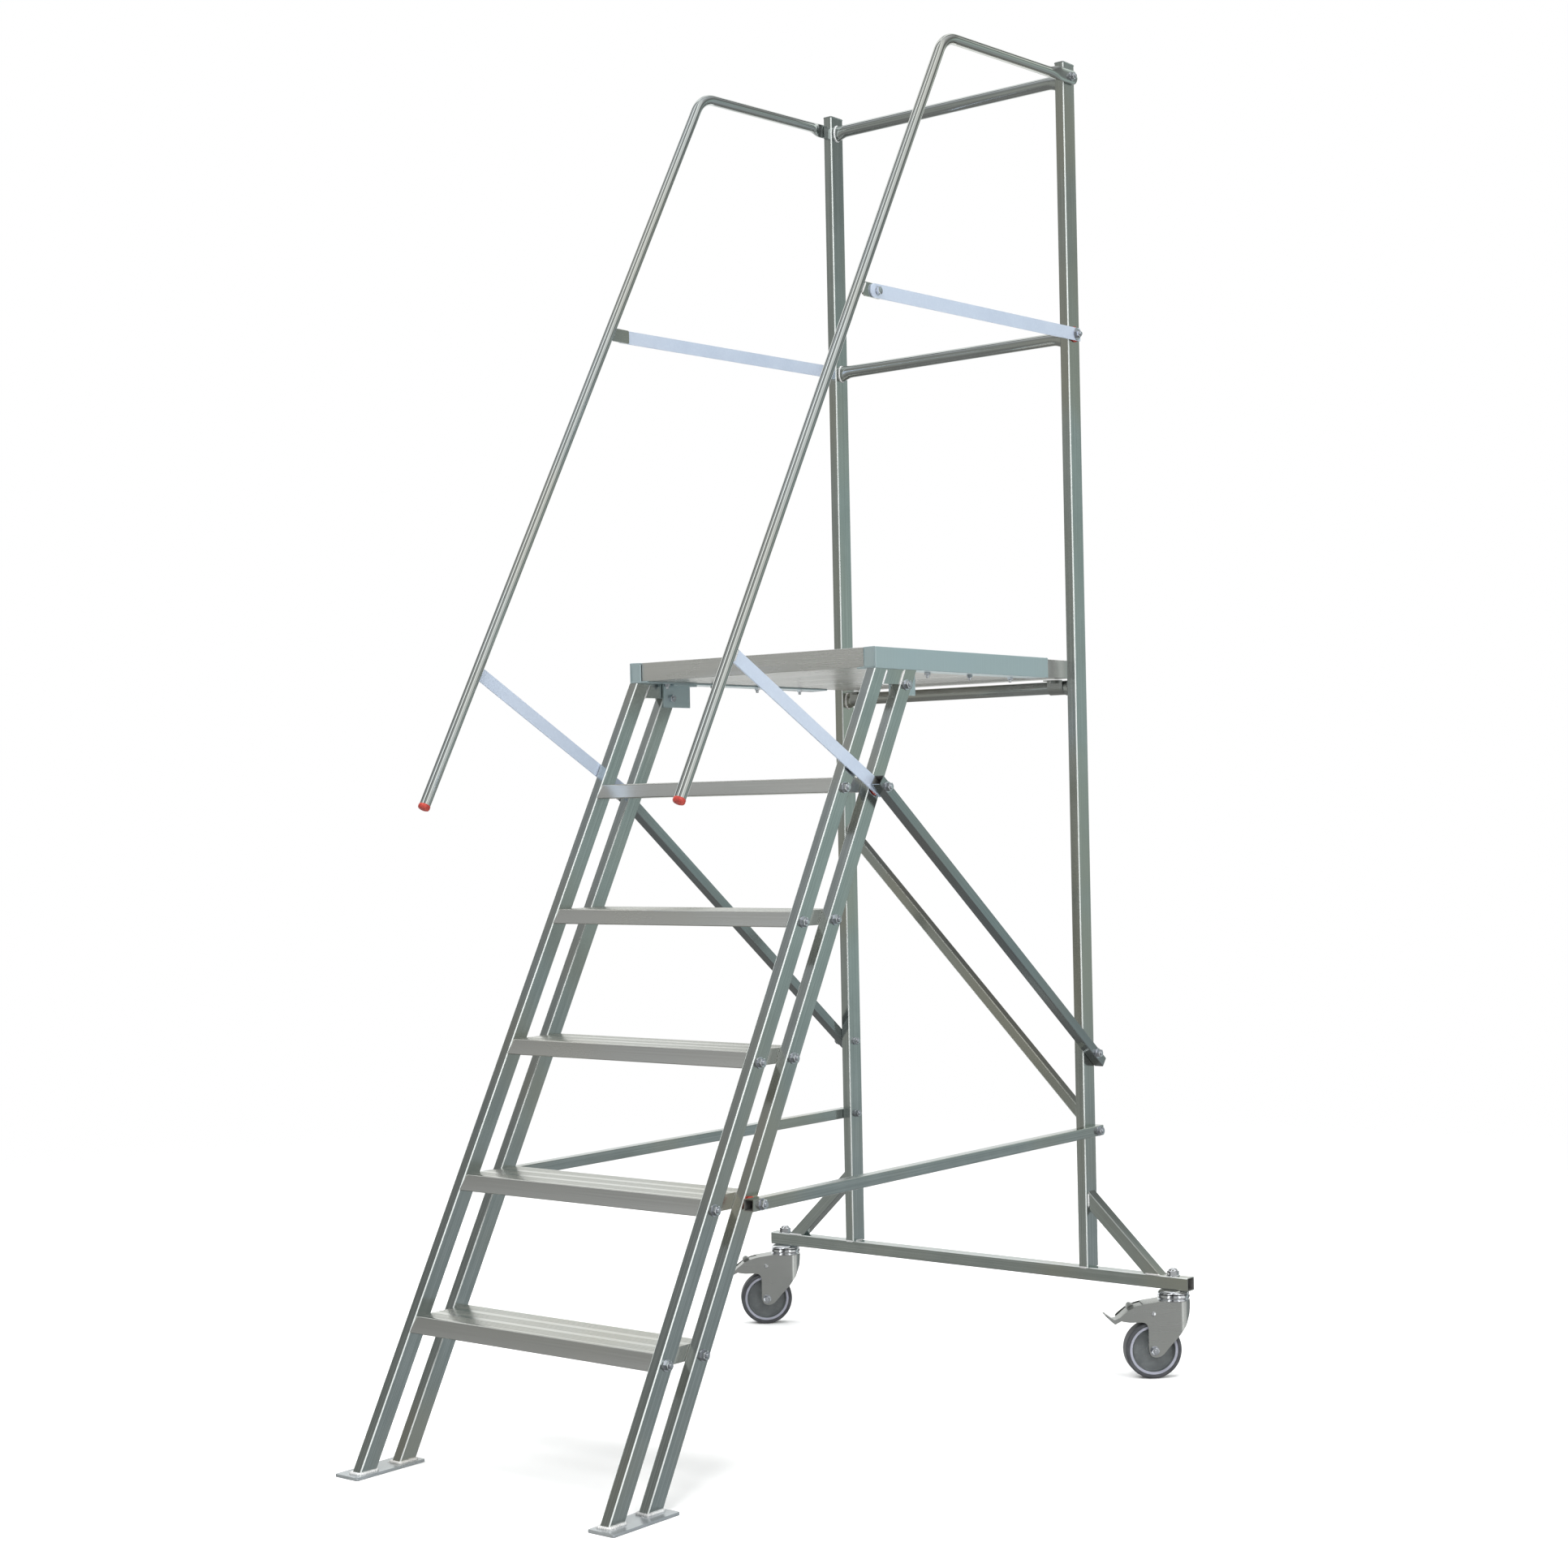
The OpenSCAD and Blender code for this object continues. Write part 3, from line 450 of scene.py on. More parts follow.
def bead(shape, path, r, closed=False, pitch=3.0):
    """Weld bead: overlapping scallops along a path of points."""
    points = [Vector(p) for p in path]
    if closed:
        points.append(points[0])
    dense = []
    for a, b in zip(points, points[1:]):
        count = max(1, int((b - a).length / 0.9))
        dense += [a.lerp(b, k / count) for k in range(count)]
    dense.append(points[-1])
    rings = []
    phase = rng.random() * pitch
    travelled = 0.0
    size = len(dense)
    for i, p in enumerate(dense):
        before = dense[max(0, i - 1)] if not closed else dense[(i - 1) % (size - 1)]
        after = dense[min(size - 1, i + 1)] if not closed else dense[(i + 1) % (size - 1)]
        ahead = (after - before).normalized()
        side = ahead.cross(Z if abs(ahead.z) < 0.9 else X).normalized()
        up = side.cross(ahead)
        travelled += (p - dense[i - 1]).length if i else 0.0
        wave = abs(math.sin(math.pi * (travelled + phase) / pitch))
        radius = r * (0.74 + 0.32 * wave + rng.uniform(-0.05, 0.05))
        if not closed:
            radius *= min(1.0, 0.45 + 0.55 * min(i, size - 1 - i) / 3)
        wobble = Vector((rng.uniform(-1, 1), rng.uniform(-1, 1), rng.uniform(-1, 1))) * 0.12
        rings.append([p + wobble + side * radius * math.cos(a) + up * radius * math.sin(a)
                      for a in turns(8)])
    if closed:
        rings.pop()
    shape.rings(rings, loop=closed)


def hex_head(shape, at, out, turn, af, h):
    """Chamfered hexagon head on its seat at a point, facing out; af is across the flats."""
    out, u, v = square_to(out)
    crown = 0.46 * af

    def ring(radius_at, height_at):
        points = []
        for a in turns(36):
            local = (math.degrees(a) + 30) % 60 - 30
            reach = radius_at(af / 2 / math.cos(rad(local)))
            points.append(at + out * height_at(reach)
                          + (u * math.cos(a + turn) + v * math.sin(a + turn)) * reach)
        return points
    shape.rings([ring(lambda e: e, lambda e: 0.0),
                 ring(lambda e: e, lambda e: h - (e - crown) * 0.5),
                 ring(lambda e: crown, lambda e: h),
                 ring(lambda e: crown * 0.82, lambda e: h - 0.25),
                 ring(lambda e: crown * 0.3, lambda e: h - 0.3)])


def disc(shape, at, out, r0, r1, h, edge=0.3):
    """Washer with softened edges."""
    out, u, v = square_to(out)
    profile = [(r0, 0), (r1 - edge, 0), (r1, edge), (r1, h - edge), (r1 - edge, h), (r0, h)]
    shape.rings([circle(at + out * z, u, v, r, 32) for r, z in profile], loop=True)


def rod(shape, a, b, r, tip=0.6):
    """Round bar between two points with chamfered ends."""
    a, b = Vector(a), Vector(b)
    axis, u, v = square_to(b - a)
    length = (b - a).length
    profile = [(r - tip, 0), (r, tip), (r, length - tip), (r - tip, length)]
    shape.rings([circle(a + axis * z, u, v, q, 24) for q, z in profile])


def block(shape, lo, hi):
    """Plain block between two corners; its edges are broken when it is built."""
    ring = [(0, 0), (1, 0), (1, 1), (0, 1)]
    pick = (lo, hi)
    shape.rings([[Vector((pick[a][0], pick[b][1], pick[c][2])) for a, b in ring]
                 for c in (0, 1)])


def plate(shape, outline, x0, x1, z=0.0):
    """Flat plate square to X, from an outline of (y, z)."""
    shape.rings([[Vector((x, a, z + b)) for a, b in outline] for x in (x0, x1)])


# ---- sizes, in millimetres, as in the CAD model ----------------------------------

LEAN = rad(90 - 61.5)
RUN = math.tan(LEAN)
TUBE, BEAM = 20.0, 25.0
STILE_D = 32.0
SPAN = STILE_D / math.cos(LEAN)
WALL = 1.5
STILE_X = corner("stile_front_right", 1).x
INNER_X = corner("stile_front_right", 0).x
PITCH = corner("stile_rear_right", 0).y - corner("stile_front_right", 0).y
TREAD_TOP = [corner("tread_%d" % k, 1).z for k in range(1, 6)]
TREAD_H = corner("tread_1", 1).z - corner("tread_1", 0).z
TREAD_DEPTH = 124.0
DECK_LOW = corner("stile_front_right", 1).z
FLOOR_PLATE = corner("foot_plate_right", 1).z
MAST_LO, MAST_HI = corner("mast_right", 0), corner("mast_right", 1)
MAST_X, MAST_IN = MAST_HI.x, MAST_LO.x
BRACE_IN = MAST_X + 0.2
MAST_MID = (MAST_LO.y + MAST_HI.y) / 2
BEAM_LO, BEAM_HI = corner("base_beam", 0), corner("base_beam", 1)
PORT_DROP = 17.6
AXIS = Vector((0, math.sin(LEAN), math.cos(LEAN)))
FACE = Vector((0, math.cos(LEAN), -math.sin(LEAN)))


def front_mid(z):
    return z * RUN + SPAN / 2


def rear_mid(z):
    return front_mid(z) + PITCH


BRACE_HIGH = TREAD_TOP[4] - PORT_DROP
BRACE_LOW = TREAD_TOP[1] - PORT_DROP
BRACE_MAST = 608.0
LOWER_MAST = 457.0
STAY_MAST = 2011.0
BRACKET_Z = 1310.0
GUSSET_REACH, GUSSET_RISE = 434.0, 322.0
DIAGONAL_HIGH, DIAGONAL_LOW = 1047.0, 489.0
SPACER_H = 27.0
BIG_HEX = (14.5, 7.0)  # across the flats, height


def level(z):
    """Level plane at a height, as (point, normal)."""
    return Vector((0, 0, z)), Z


def upright(x):
    """Plane square to X, as (point, normal)."""
    return Vector((x, 0, 0)), X


# ---- stiles, feet and spacers ----------------------------------------------------


def spatter(shape, path, lo, hi):
    """Small drops beside a weld, inside a foot plate's edges."""
    margin = 2
    for _ in range(9):
        p = path[rng.randrange(len(path))] + Vector((rng.uniform(-6, 6), rng.uniform(-9, 9), 0))
        if lo.x + margin < p.x < hi.x - margin and lo.y + margin < p.y < hi.y - margin:
            size = rng.uniform(0.5, 1.3)
            lathe(shape, [(size, -0.8), (size * 0.9, 0.2), (size * 0.4, size * 0.7)],
                  lambda x, y, h: p + Vector((x, y, h - 0.4)), 8)


def stiles():
    mid_x = (STILE_X + INNER_X) / 2
    for label, side in SIDES:
        for which, offset in (("front", 0.0), ("rear", PITCH)):
            s = Shape()
            tube(s, TUBE, STILE_D, Vector((mid_x, SPAN / 2 + offset, 0)), AXIS, X, FACE,
                 (level(FLOOR_PLATE), level(DECK_LOW)))
            node = "stile_%s_%s" % (which, label)
            build(s, node + "_tube", "frame", TUBE_MATS, (node,), side=side)
        node = "foot_plate_" + label
        lo, hi = corner("foot_plate_right", 0), corner("foot_plate_right", 1)
        s = Shape()
        cx, cy = (lo.x + hi.x) / 2, (lo.y + hi.y) / 2
        outline = rounded(hi.x - lo.x, hi.y - lo.y, 1.5, 2, cx, cy)
        s.rings([[Vector((a, b, z)) for a, b in outline] for z in (lo.z, hi.z)])
        build(s, node + "_plate", "frame", "plate", (node,), side=side, bevel=0.5)
        s = Shape()
        for offset in (0.0, PITCH):
            base = [meet(Vector((mid_x, SPAN / 2 + offset, 0)) + X * a + FACE * b, AXIS,
                         level(FLOOR_PLATE + 0.8))
                    for a, b in rounded(TUBE + 2, STILE_D + 2, 2.0, 2)]
            bead(s, base, 3.5, True, pitch=4.2)
            spatter(s, base, lo, hi)
        for face_y in (SPAN, PITCH):
            for x0 in (INNER_X + 1, STILE_X - 1):
                bead(s, [Vector((x0, z * RUN + face_y, z))
                         for z in (DECK_LOW - 28, DECK_LOW - 14, DECK_LOW - 2)], 2.6, pitch=3.6)
        build(s, "stile_welds_" + label, "frame", "weld", slot="stile_spacers", side=side,
              sharp=60, weighted=False)
    s = Shape()
    lo_x, hi_x = INNER_X + 1, STILE_X - 1
    for sign in (-1, 1):
        rows = []
        for z in (DECK_LOW - SPACER_H, DECK_LOW):
            y0 = front_mid(z) + SPAN / 2
            y1 = rear_mid(z) - SPAN / 2
            rows.append([Vector((sign * x, y, z))
                         for x, y in ((lo_x, y0), (hi_x, y0), (hi_x, y1), (lo_x, y1))])
        s.rings(rows)
    build(s, "stile_spacer_blocks", "frame", "zinc", ("stile_spacers",), bevel=0.5)


stiles()

# ---- treads ----------------------------------------------------------------------


def ribbed_top(y0, count, pitch, width, depth):
    """Grooves cut in a level top from y0 rearwards, as outline points."""
    points = []
    ease = 0.25
    for k in range(count):
        a = y0 + k * pitch
        points += [(a, 0), (a + ease, -depth), (a + width - ease, -depth), (a + width, 0)]
    return points


def tread_outline():
    """Side view of a tread: grooved in three bands, with a round nose and slanting ends."""
    back = TREAD_H * RUN
    top = []
    for band in range(3):
        top += ribbed_top(12 + band * 40, 5, 5.5, 2.2, 1.0)
    nose = 4.6
    slope = math.degrees(LEAN)
    front = arc(nose + 0.6, -nose, nose, 180 - slope + 10, 90, 6)
    rear = arc(TREAD_DEPTH - 3.0, -3.0, 3.0, 90, -slope, 5)
    low = [(TREAD_DEPTH - back - 1.0, -TREAD_H), (2.4 - back, -TREAD_H),
           (0.4 - back, 1.6 - TREAD_H)]
    return front + top + rear + low


def treads():
    outline = tread_outline()
    for k, top in enumerate(TREAD_TOP, 1):
        s = Shape()
        s.section(outline, lambda a, b: Vector((-INNER_X, top * RUN + a, top + b)),
                  X * (2 * INNER_X))
        build(s, "tread_%d_step" % k, "frame", "tread", ("tread_%d" % k,), sharp=28,
              weighted=False)
    s = Shape()
    for sign in (-1, 1):
        for k, top in enumerate(TREAD_TOP):
            z = top - PORT_DROP
            for rear in (False, True):
                if rear and k in (1, 4):  # the braces' bolts are there instead
                    continue
                out = X * sign
                at = Vector((sign * STILE_X, (rear_mid(z) if rear else front_mid(z)), z))
                disc(s, at, out, 3.5, 10.0, 1.6)
                hex_head(s, at + out * 1.6, out, rng.uniform(0, 1), *BIG_HEX)
                rod(s, at, at + out * 11.2, 4.0, tip=0.9)
    build(s, "tread_bolt_heads", "frame", "bright", ("tread_bolts",), sharp=24)


treads()

# ---- deck ------------------------------------------------------------------------


def plank_outline(depth, height):
    """Side view of a plank: grooves above and below, and rounded edges."""
    grooves = ribbed_top(7, 13, 9.0, 3.0, 1.0)
    r = 1.2
    return arc(r, -r, r, 180, 90, 3) + grooves + arc(depth - r, -r, r, 90, 0, 3) \
        + arc(depth - r, r - height, r, 0, -90, 3) \
        + [(y, -height - z) for y, z in reversed(grooves)] \
        + arc(r, r - height, r, 270, 180, 3)


def deck():
    lo, hi = corner("deck_plank_2", 0), corner("deck_plank_2", 1)
    half = hi.x
    for index in range(1, 6):
        node = "deck_plank_%d" % index
        first, last = corner(node, 0), corner(node, 1)
        s = Shape()
        s.section(plank_outline(last.y - first.y, hi.z - lo.z),
                  lambda a, b: Vector((-half, first.y + a, hi.z + b)), X * (2 * half))
        build(s, node + "_board", "frame", "deck", (node,), sharp=28, weighted=False)
    lo, hi = corner("deck_channel_right", 0), corner("deck_channel_right", 1)
    t = 3.0
    for label, side in SIDES:
        s = Shape()
        block(s, (hi.x - t, lo.y, lo.z), (hi.x, hi.y, hi.z))
        block(s, (half, lo.y, hi.z - t), (hi.x - t, hi.y, hi.z))
        block(s, (lo.x, lo.y, lo.z), (hi.x - t, hi.y, lo.z + t))
        block(s, (half, lo.y, lo.z + t), (hi.x - t, lo.y + t, hi.z - t))
        node = "deck_channel_" + label
        piece = build(s, node + "_edge", "frame", "channel", (node,), side=side)
        soft = piece.modifiers.new("edges", "BEVEL")
        soft.width, soft.segments, soft.limit_method = 0.9 * MM, 3, "ANGLE"
        piece.modifiers.move(1, 0)


deck()

# ---- masts, beam and welded tubes --------------------------------------------------


def masts():
    middle = Vector(((MAST_X + MAST_IN) / 2, MAST_MID, 0))
    for label, side in SIDES:
        s = Shape()
        # on both masts the front corner toward +x, facing the camera, gets the painted highlight
        tube(s, TUBE, MAST_HI.y - MAST_LO.y, middle, Z, X, Y,
             (level(MAST_LO.z), level(MAST_HI.z)), 1.9, lit=(3,) if side > 0 else (2,))
        build(s, "mast_%s_tube" % label, "frame", TUBE_MATS, ("mast_" + label,), side=side)


def beam():
    s = Shape()
    # the beam's front top corner gets the painted highlight
    tube(s, BEAM, BEAM, Vector((0, MAST_MID, (BEAM_LO.z + BEAM_HI.z) / 2)), X, Y, Z,
         (upright(BEAM_LO.x), upright(BEAM_HI.x)), 1.8, lit=(1,))
    build(s, "base_beam_tube", "frame", TUBE_MATS, ("base_beam",))


def gussets():
    axis = Vector((GUSSET_REACH - MAST_X, 0, BEAM_HI.z - GUSSET_RISE)).normalized()
    for label, side in SIDES:
        s = Shape()
        tube(s, BEAM, BEAM, Vector((MAST_X, MAST_MID, GUSSET_RISE)), axis, Y,
             axis.cross(Y).normalized(), (upright(MAST_X), level(BEAM_HI.z)), 1.8, lit=())
        build(s, "gusset_%s_tube" % label, "frame", TUBE_MATS, ("gusset_" + label,), side=side)


def diagonal():
    s = Shape()
    axis = Vector((2 * MAST_IN, 0, DIAGONAL_LOW - DIAGONAL_HIGH)).normalized()
    tube(s, TUBE, TUBE, Vector((-MAST_IN, MAST_MID, DIAGONAL_HIGH)), axis, Y,
         axis.cross(Y).normalized(), (upright(-MAST_IN), upright(MAST_IN)))
    build(s, "rear_diagonal_tube", "frame", TUBE_MATS, ("rear_diagonal",))


masts()
beam()
gussets()
diagonal()

# ---- braces ------------------------------------------------------------------------


def braces():
    """Tubes on the sides, from the rear stiles to the masts, with free ends past the bolts."""
    x = BRACE_IN + TUBE / 2
    for label, side in SIDES:
        # the side braces take the darker zinc copy, which is painted shade; the lower braces take
        # the plain zinc
        for kind, mat, z0, z1, over0, over1 in (
                ("side_brace", "brace", BRACE_HIGH, BRACE_MAST, 20, 32),
                ("lower_brace", "zinc", BRACE_LOW, LOWER_MAST, 22, 16)):
            a, b = Vector((x, rear_mid(z0), z0)), Vector((x, MAST_MID, z1))
            axis = (b - a).normalized()
            s = Shape()
            tube(s, TUBE, TUBE, a, axis, X, axis.cross(X).normalized(),
                 ((a - axis * over0, axis), (b + axis * over1, axis)), lit=())
            build(s, "%s_%s_tube" % (kind, label), "frame", (mat, "bore", "edge"),
                  ("%s_%s" % (kind, label),), side=side)


braces()

# ---- handrails ---------------------------------------------------------------------

HAND_X, HAND_R = 291.0, 10.0
HAND_CORNER = Vector((HAND_X, 973.0, 2499.0))
HAND_ANGLE, HAND_RISE, HAND_BEND = rad(60.8), rad(2.2), 62.0
HAND_LOW_Z = 1112.0
STAY_W, STAY_T, STAY_HAND = 25.0, 3.0, 1996.0


def handrail_path():
    """Points and headings up the leg and round the bend, then the last part's heading and start."""
    down = Vector((0, -math.cos(HAND_ANGLE), -math.sin(HAND_ANGLE)))
    back = Vector((0, math.cos(HAND_RISE), math.sin(HAND_RISE)))
    turn = HAND_ANGLE - HAND_RISE
    cut = HAND_BEND * math.tan(turn / 2)
    start, end = HAND_CORNER + down * cut, HAND_CORNER + back * cut
    low = HAND_CORNER + down * ((HAND_CORNER.z - HAND_LOW_Z) / math.sin(HAND_ANGLE))
    points = [(low.lerp(start, k / 12), -down) for k in range(12)]
    centre = start + X.cross(down) * HAND_BEND
    steps = 20
    for k in range(steps + 1):
        spin = Matrix.Rotation(-turn * k / steps, 3, "X")
        points.append((centre + spin @ (start - centre), spin @ (-down)))
    return points, back, end


def smooth(t):
    """Eased step from 0 to 1."""
    t = min(1.0, max(0.0, t))
    return t * t * (3 - 2 * t)


def between(start, end, steps):
    """Equal steps from start to end, without start itself."""
    return [start + (end - start) * k / steps for k in range(1, steps + 1)]


def squircle(centre, ahead, half_x, half_up, power, steps=32):
    """Ring about a tube: a circle at power 2, and squarer above it."""
    up = X.cross(ahead).normalized()
    ring = []
    for a in turns(steps):
        c, d = math.cos(a), math.sin(a)
        ring.append(centre + X * half_x * math.copysign(abs(c) ** (2 / power), c)
                    + up * half_up * math.copysign(abs(d) ** (2 / power), d))
    return ring


def handrails():
    """Round tubes bent over at the top, whose rear ends are pressed flat for the mast bolts."""
    flat_start, flat_end, tip = 1322.0, 1362.0, corner("handrail_right", 1).y - 1.0
    flat_up, flat_thick = 14.0, 3.0
    flat_x = MAST_X + 0.5 + flat_thick
    for label, side in SIDES:
        points, back, end = handrail_path()
        s = Shape()
        rings = [squircle(p, d, HAND_R, HAND_R, 2.0) for p, d in points]
        round_at = tip - flat_up
        along = between(end.y, flat_start, 4) + between(flat_start, flat_end, 10) \
            + between(flat_end, round_at, 3)
        along += [round_at + 13.6 * math.sin(rad(90 * k / 8)) for k in range(1, 9)]
        for y in along:
            p = end + back * ((y - end.y) / back.y)
            t = smooth((y - flat_start) / (flat_end - flat_start))
            half_up = HAND_R + (flat_up - HAND_R) * t
            half_x = HAND_R + (flat_thick - HAND_R) * t
            if y > round_at:
                half_up = flat_up * math.sqrt(max(0.02, 1 - ((y - round_at) / flat_up) ** 2))
            p = Vector((HAND_X + (flat_x - HAND_X) * t, p.y, p.z))
            rings.append(squircle(p, back, half_x, half_up, 2.0 + 1.6 * t))
        s.rings(rings)
        node = "handrail_" + label
        build(s, node + "_tube", "frame", "rail", (node,), side=side, sharp=50, weighted=False)


handrails()

# ---- rails, stays and small parts ----------------------------------------------------


def hand_y(z):
    """How far back the handrail's leg is at a height."""
    return HAND_CORNER.y - (HAND_CORNER.z - z) / math.tan(HAND_ANGLE)


STAY_FRONT = hand_y(STAY_HAND) + 46.6


def rails():
    """Round rails whose ends are pressed tall and narrow, and welded to the masts."""
    r, pressed = 12.5, 27.0
    for node in ("rear_top_rail", "rear_mid_rail", "deck_rail"):
        lo, hi = corner(node, 0), corner(node, 1)
        z = (lo.z + hi.z) / 2
        s, welds = Shape(), Shape()
        stations = [0, 3, 7, 12, 17, 22, pressed]
        xs = [-MAST_IN + t for t in stations] + [MAST_IN - t for t in reversed(stations)]
        rings = []
        for x in xs:
            t = smooth(1 - (MAST_IN - abs(x)) / pressed)
            rings.append([Vector((x, MAST_MID + (r - 2.5 * t) * math.cos(a),
                                  z - 2.6 * t + (r + 3.6 * t) * math.sin(a)))
                          for a in turns(40)])
        s.rings(rings)
        for sign, end in ((-1, rings[0]), (1, rings[-1])):
            bead(welds, [p - X * sign * 0.6 for p in end[::2]], 1.9, True)
        build(s, node + "_tube", "frame", "rail", (node,), sharp=50, weighted=False)
        build(welds, node + "_welds", "frame", "weld", slot=node, sharp=60, weighted=False)


def bar(shape, x, start, end, skip, over, nose):
    """Flat bar between two points (y, z); nose makes a round front end."""
    half = STAY_W / 2
    axis = Vector((0, end[0] - start[0], end[1] - start[1]))
    length = axis.length
    axis.normalize()
    up = X.cross(axis)
    if nose:
        outline = arc(-skip, 0, half, 90, 270, 14)
    else:
        outline = [(skip, half), (skip, -half)]
    outline += [(length + over, -half), (length + over, half)]
    points = [Vector((0, *start)) + axis * a + up * b for a, b in outline]
    plate(shape, [(p.y, p.z) for p in points], x, x + STAY_T)


def stays():
    """Flat bars from the handrails to the masts and the rear stiles, with their lugs."""
    upper_x, lower_x = MAST_X + 3.0, STILE_X + 3.0
    low_z = 1348.4
    lean = Vector((0, math.cos(HAND_ANGLE), math.sin(HAND_ANGLE)))
    for label, side in SIDES:
        s = Shape()
        bar(s, upper_x, (STAY_FRONT, STAY_HAND), (MAST_MID, STAY_MAST), 7.0, 14.0, True)
        build(s, "stay_upper_%s_bar" % label, "frame", "flat", ("stay_upper_" + label,),
              side=side, bevel=0.45)
        s = Shape()
        bar(s, lower_x, (hand_y(low_z), low_z), (rear_mid(BRACE_HIGH), BRACE_HIGH),
            9.3, 14.0, False)
        build(s, "stay_lower_%s_bar" % label, "frame", "flat", ("stay_lower_" + label,),
              side=side, bevel=0.45)
        s = Shape()
        axis = Vector((0, rear_mid(BRACE_HIGH) - hand_y(low_z), BRACE_HIGH - low_z)).normalized()
        foot = Vector((lower_x + 3.2, hand_y(low_z), low_z)) + axis * 10.6
        bead(s, [foot + X.cross(axis) * b for b in (-11, -4, 4, 11)], 1.8, pitch=2.8)
        lug = Vector((upper_x + 0.4, hand_y(STAY_HAND) + 10.0, STAY_HAND))
        bead(s, [lug + lean * b for b in (-10, -3, 4, 12)], 1.7, pitch=2.8)
        build(s, "stay_welds_" + label, "frame", "weld", slot="handrail_tabs", side=side,
              sharp=60, weighted=False)
    s = Shape()
    y0, y1 = hand_y(STAY_HAND), STAY_FRONT + 12.0
    half, chamfer = STAY_W / 2, 2.0
    outline = [(y0 + 16, -half), (y1 - chamfer, -half), (y1, chamfer - half),
               (y1, half - chamfer), (y1 - chamfer, half), (y0 + 14, half), (y0 + 8, 6),
               (y0 + 7, -4), (y0 + 10, -10)]
    for sign in (-1, 1):
        plate(s, outline, sign * (upper_x - 4.0), sign * (upper_x - 0.05), STAY_HAND)
    build(s, "handrail_lugs", "frame", "zinc", ("handrail_tabs",), bevel=0.5)


def stud(s, at, out, washer=0.0, af=13.0, h=5.3, turn=None):
    """Bolt head on its seat, with a washer below it when asked for."""
    out = out.normalized()
    if washer:
        disc(s, at, out, 3.5, washer, 1.5)
        at = at + out * 1.5
    hex_head(s, at, out, rng.uniform(0, 1) if turn is None else turn, af, h)


def nut(s, at, out, thread=4.0, r=4.0, af=13.0, h=6.5, washer=0.0):
    """Nut on its seat, with the bolt's rounded end standing out of it."""
    stud(s, at, out, washer, af, h)
    base = at + out.normalized() * (h - 0.6)
    rod(s, base, base + out.normalized() * (thread + 0.6), r, tip=0.9)


def bolts():
    """Bolts, nuts and washers of the braces, stays and handrails, with the plugs and caps."""
    s = Shape()
    rail_z = HAND_CORNER.z + (MAST_MID - HAND_CORNER.y) * math.tan(HAND_RISE)
    brace = BRACE_IN + TUBE
    for sign in (-1, 1):
        out = X * sign
        for y, z in ((rear_mid(BRACE_HIGH), BRACE_HIGH), (rear_mid(BRACE_LOW), BRACE_LOW),
                     (MAST_MID, BRACE_MAST), (MAST_MID, LOWER_MAST)):
            nut(s, Vector((sign * brace, y, z)), out, 3.0, 4.0, *BIG_HEX, 10.0)
        nut(s, Vector((sign * (MAST_X + 6.0), MAST_MID, STAY_MAST)), out, 5.0, washer=12.0)
        nut(s, Vector((sign * (MAST_X + 6.5), MAST_MID, rail_z)), out, 4.0, washer=9.0)
        stud(s, Vector((sign * (MAST_X + 6.0), STAY_FRONT, STAY_HAND)), out, 8.0)
    build(s, "brace_bolt_heads", "frame", "bright", ("brace_bolts",), sharp=24)
    s = Shape()
    for sign in (-1, 1):
        for z in (BRACE_MAST, LOWER_MAST, STAY_MAST, rail_z):
            nut(s, Vector((sign * MAST_IN, MAST_MID, z)), X * -sign, 3.5, washer=8.0)
    build(s, "brace_nut_set", "frame", "bright", ("brace_nuts",), sharp=24)
    s = Shape()
    for sign in (-1, 1):
        for x, y, z, r, thick, edge in (
                (MAST_X, MAST_MID, STAY_MAST, 15.0, 3.0, 0.7),
                (STILE_X, rear_mid(BRACE_HIGH), BRACE_HIGH, 14.0, 3.0, 0.7),
                (STILE_X, rear_mid(BRACE_LOW), BRACE_LOW, 11.0, 6.4, 0.9)):
            disc(s, Vector((sign * x, y, z)), X * sign, 4.3, r, thick, edge)
    build(s, "spacer_washer_set", "frame", "red", ("spacer_washers",), sharp=40)
    down = Vector((0, -math.cos(HAND_ANGLE), -math.sin(HAND_ANGLE)))
    up = X.cross(down)
    s = Shape()
    for sign in (-1, 1):
        tip = Vector((sign * HAND_X, hand_y(HAND_LOW_Z), HAND_LOW_Z))
        lathe(s, [(8.2, -6), (10.0, -0.2), (10.5, 0.3), (10.6, 4.5), (9.6, 6.8), (7.0, 8.0),
                  (3.0, 8.5)], lambda x, y, h: tip + X * x + up * y + down * h, 40)
    build(s, "handrail_plug_pair", "frame", "red", ("handrail_plugs",), sharp=50, weighted=False)
    s = Shape()
    for sign in (-1, 1):
        mid = Vector((sign * (MAST_X + MAST_IN) / 2, MAST_MID, 0))
        rings = []
        for z, grow in ((MAST_HI.z - 4, -3.4), (MAST_HI.z, -3.4), (MAST_HI.z, 0.7),
                        (MAST_HI.z + 0.8, 1.1), (MAST_HI.z + 2.0, 0.9), (MAST_HI.z + 3.0, -0.6)):
            rings.append([mid + Vector((a, b, z)) for a, b in
                          rounded(TUBE + grow, MAST_HI.y - MAST_LO.y + grow, 1.8, 3)])
        s.rings(rings)
    build(s, "mast_cap_pair", "frame", "zinc", ("mast_caps",), sharp=40)


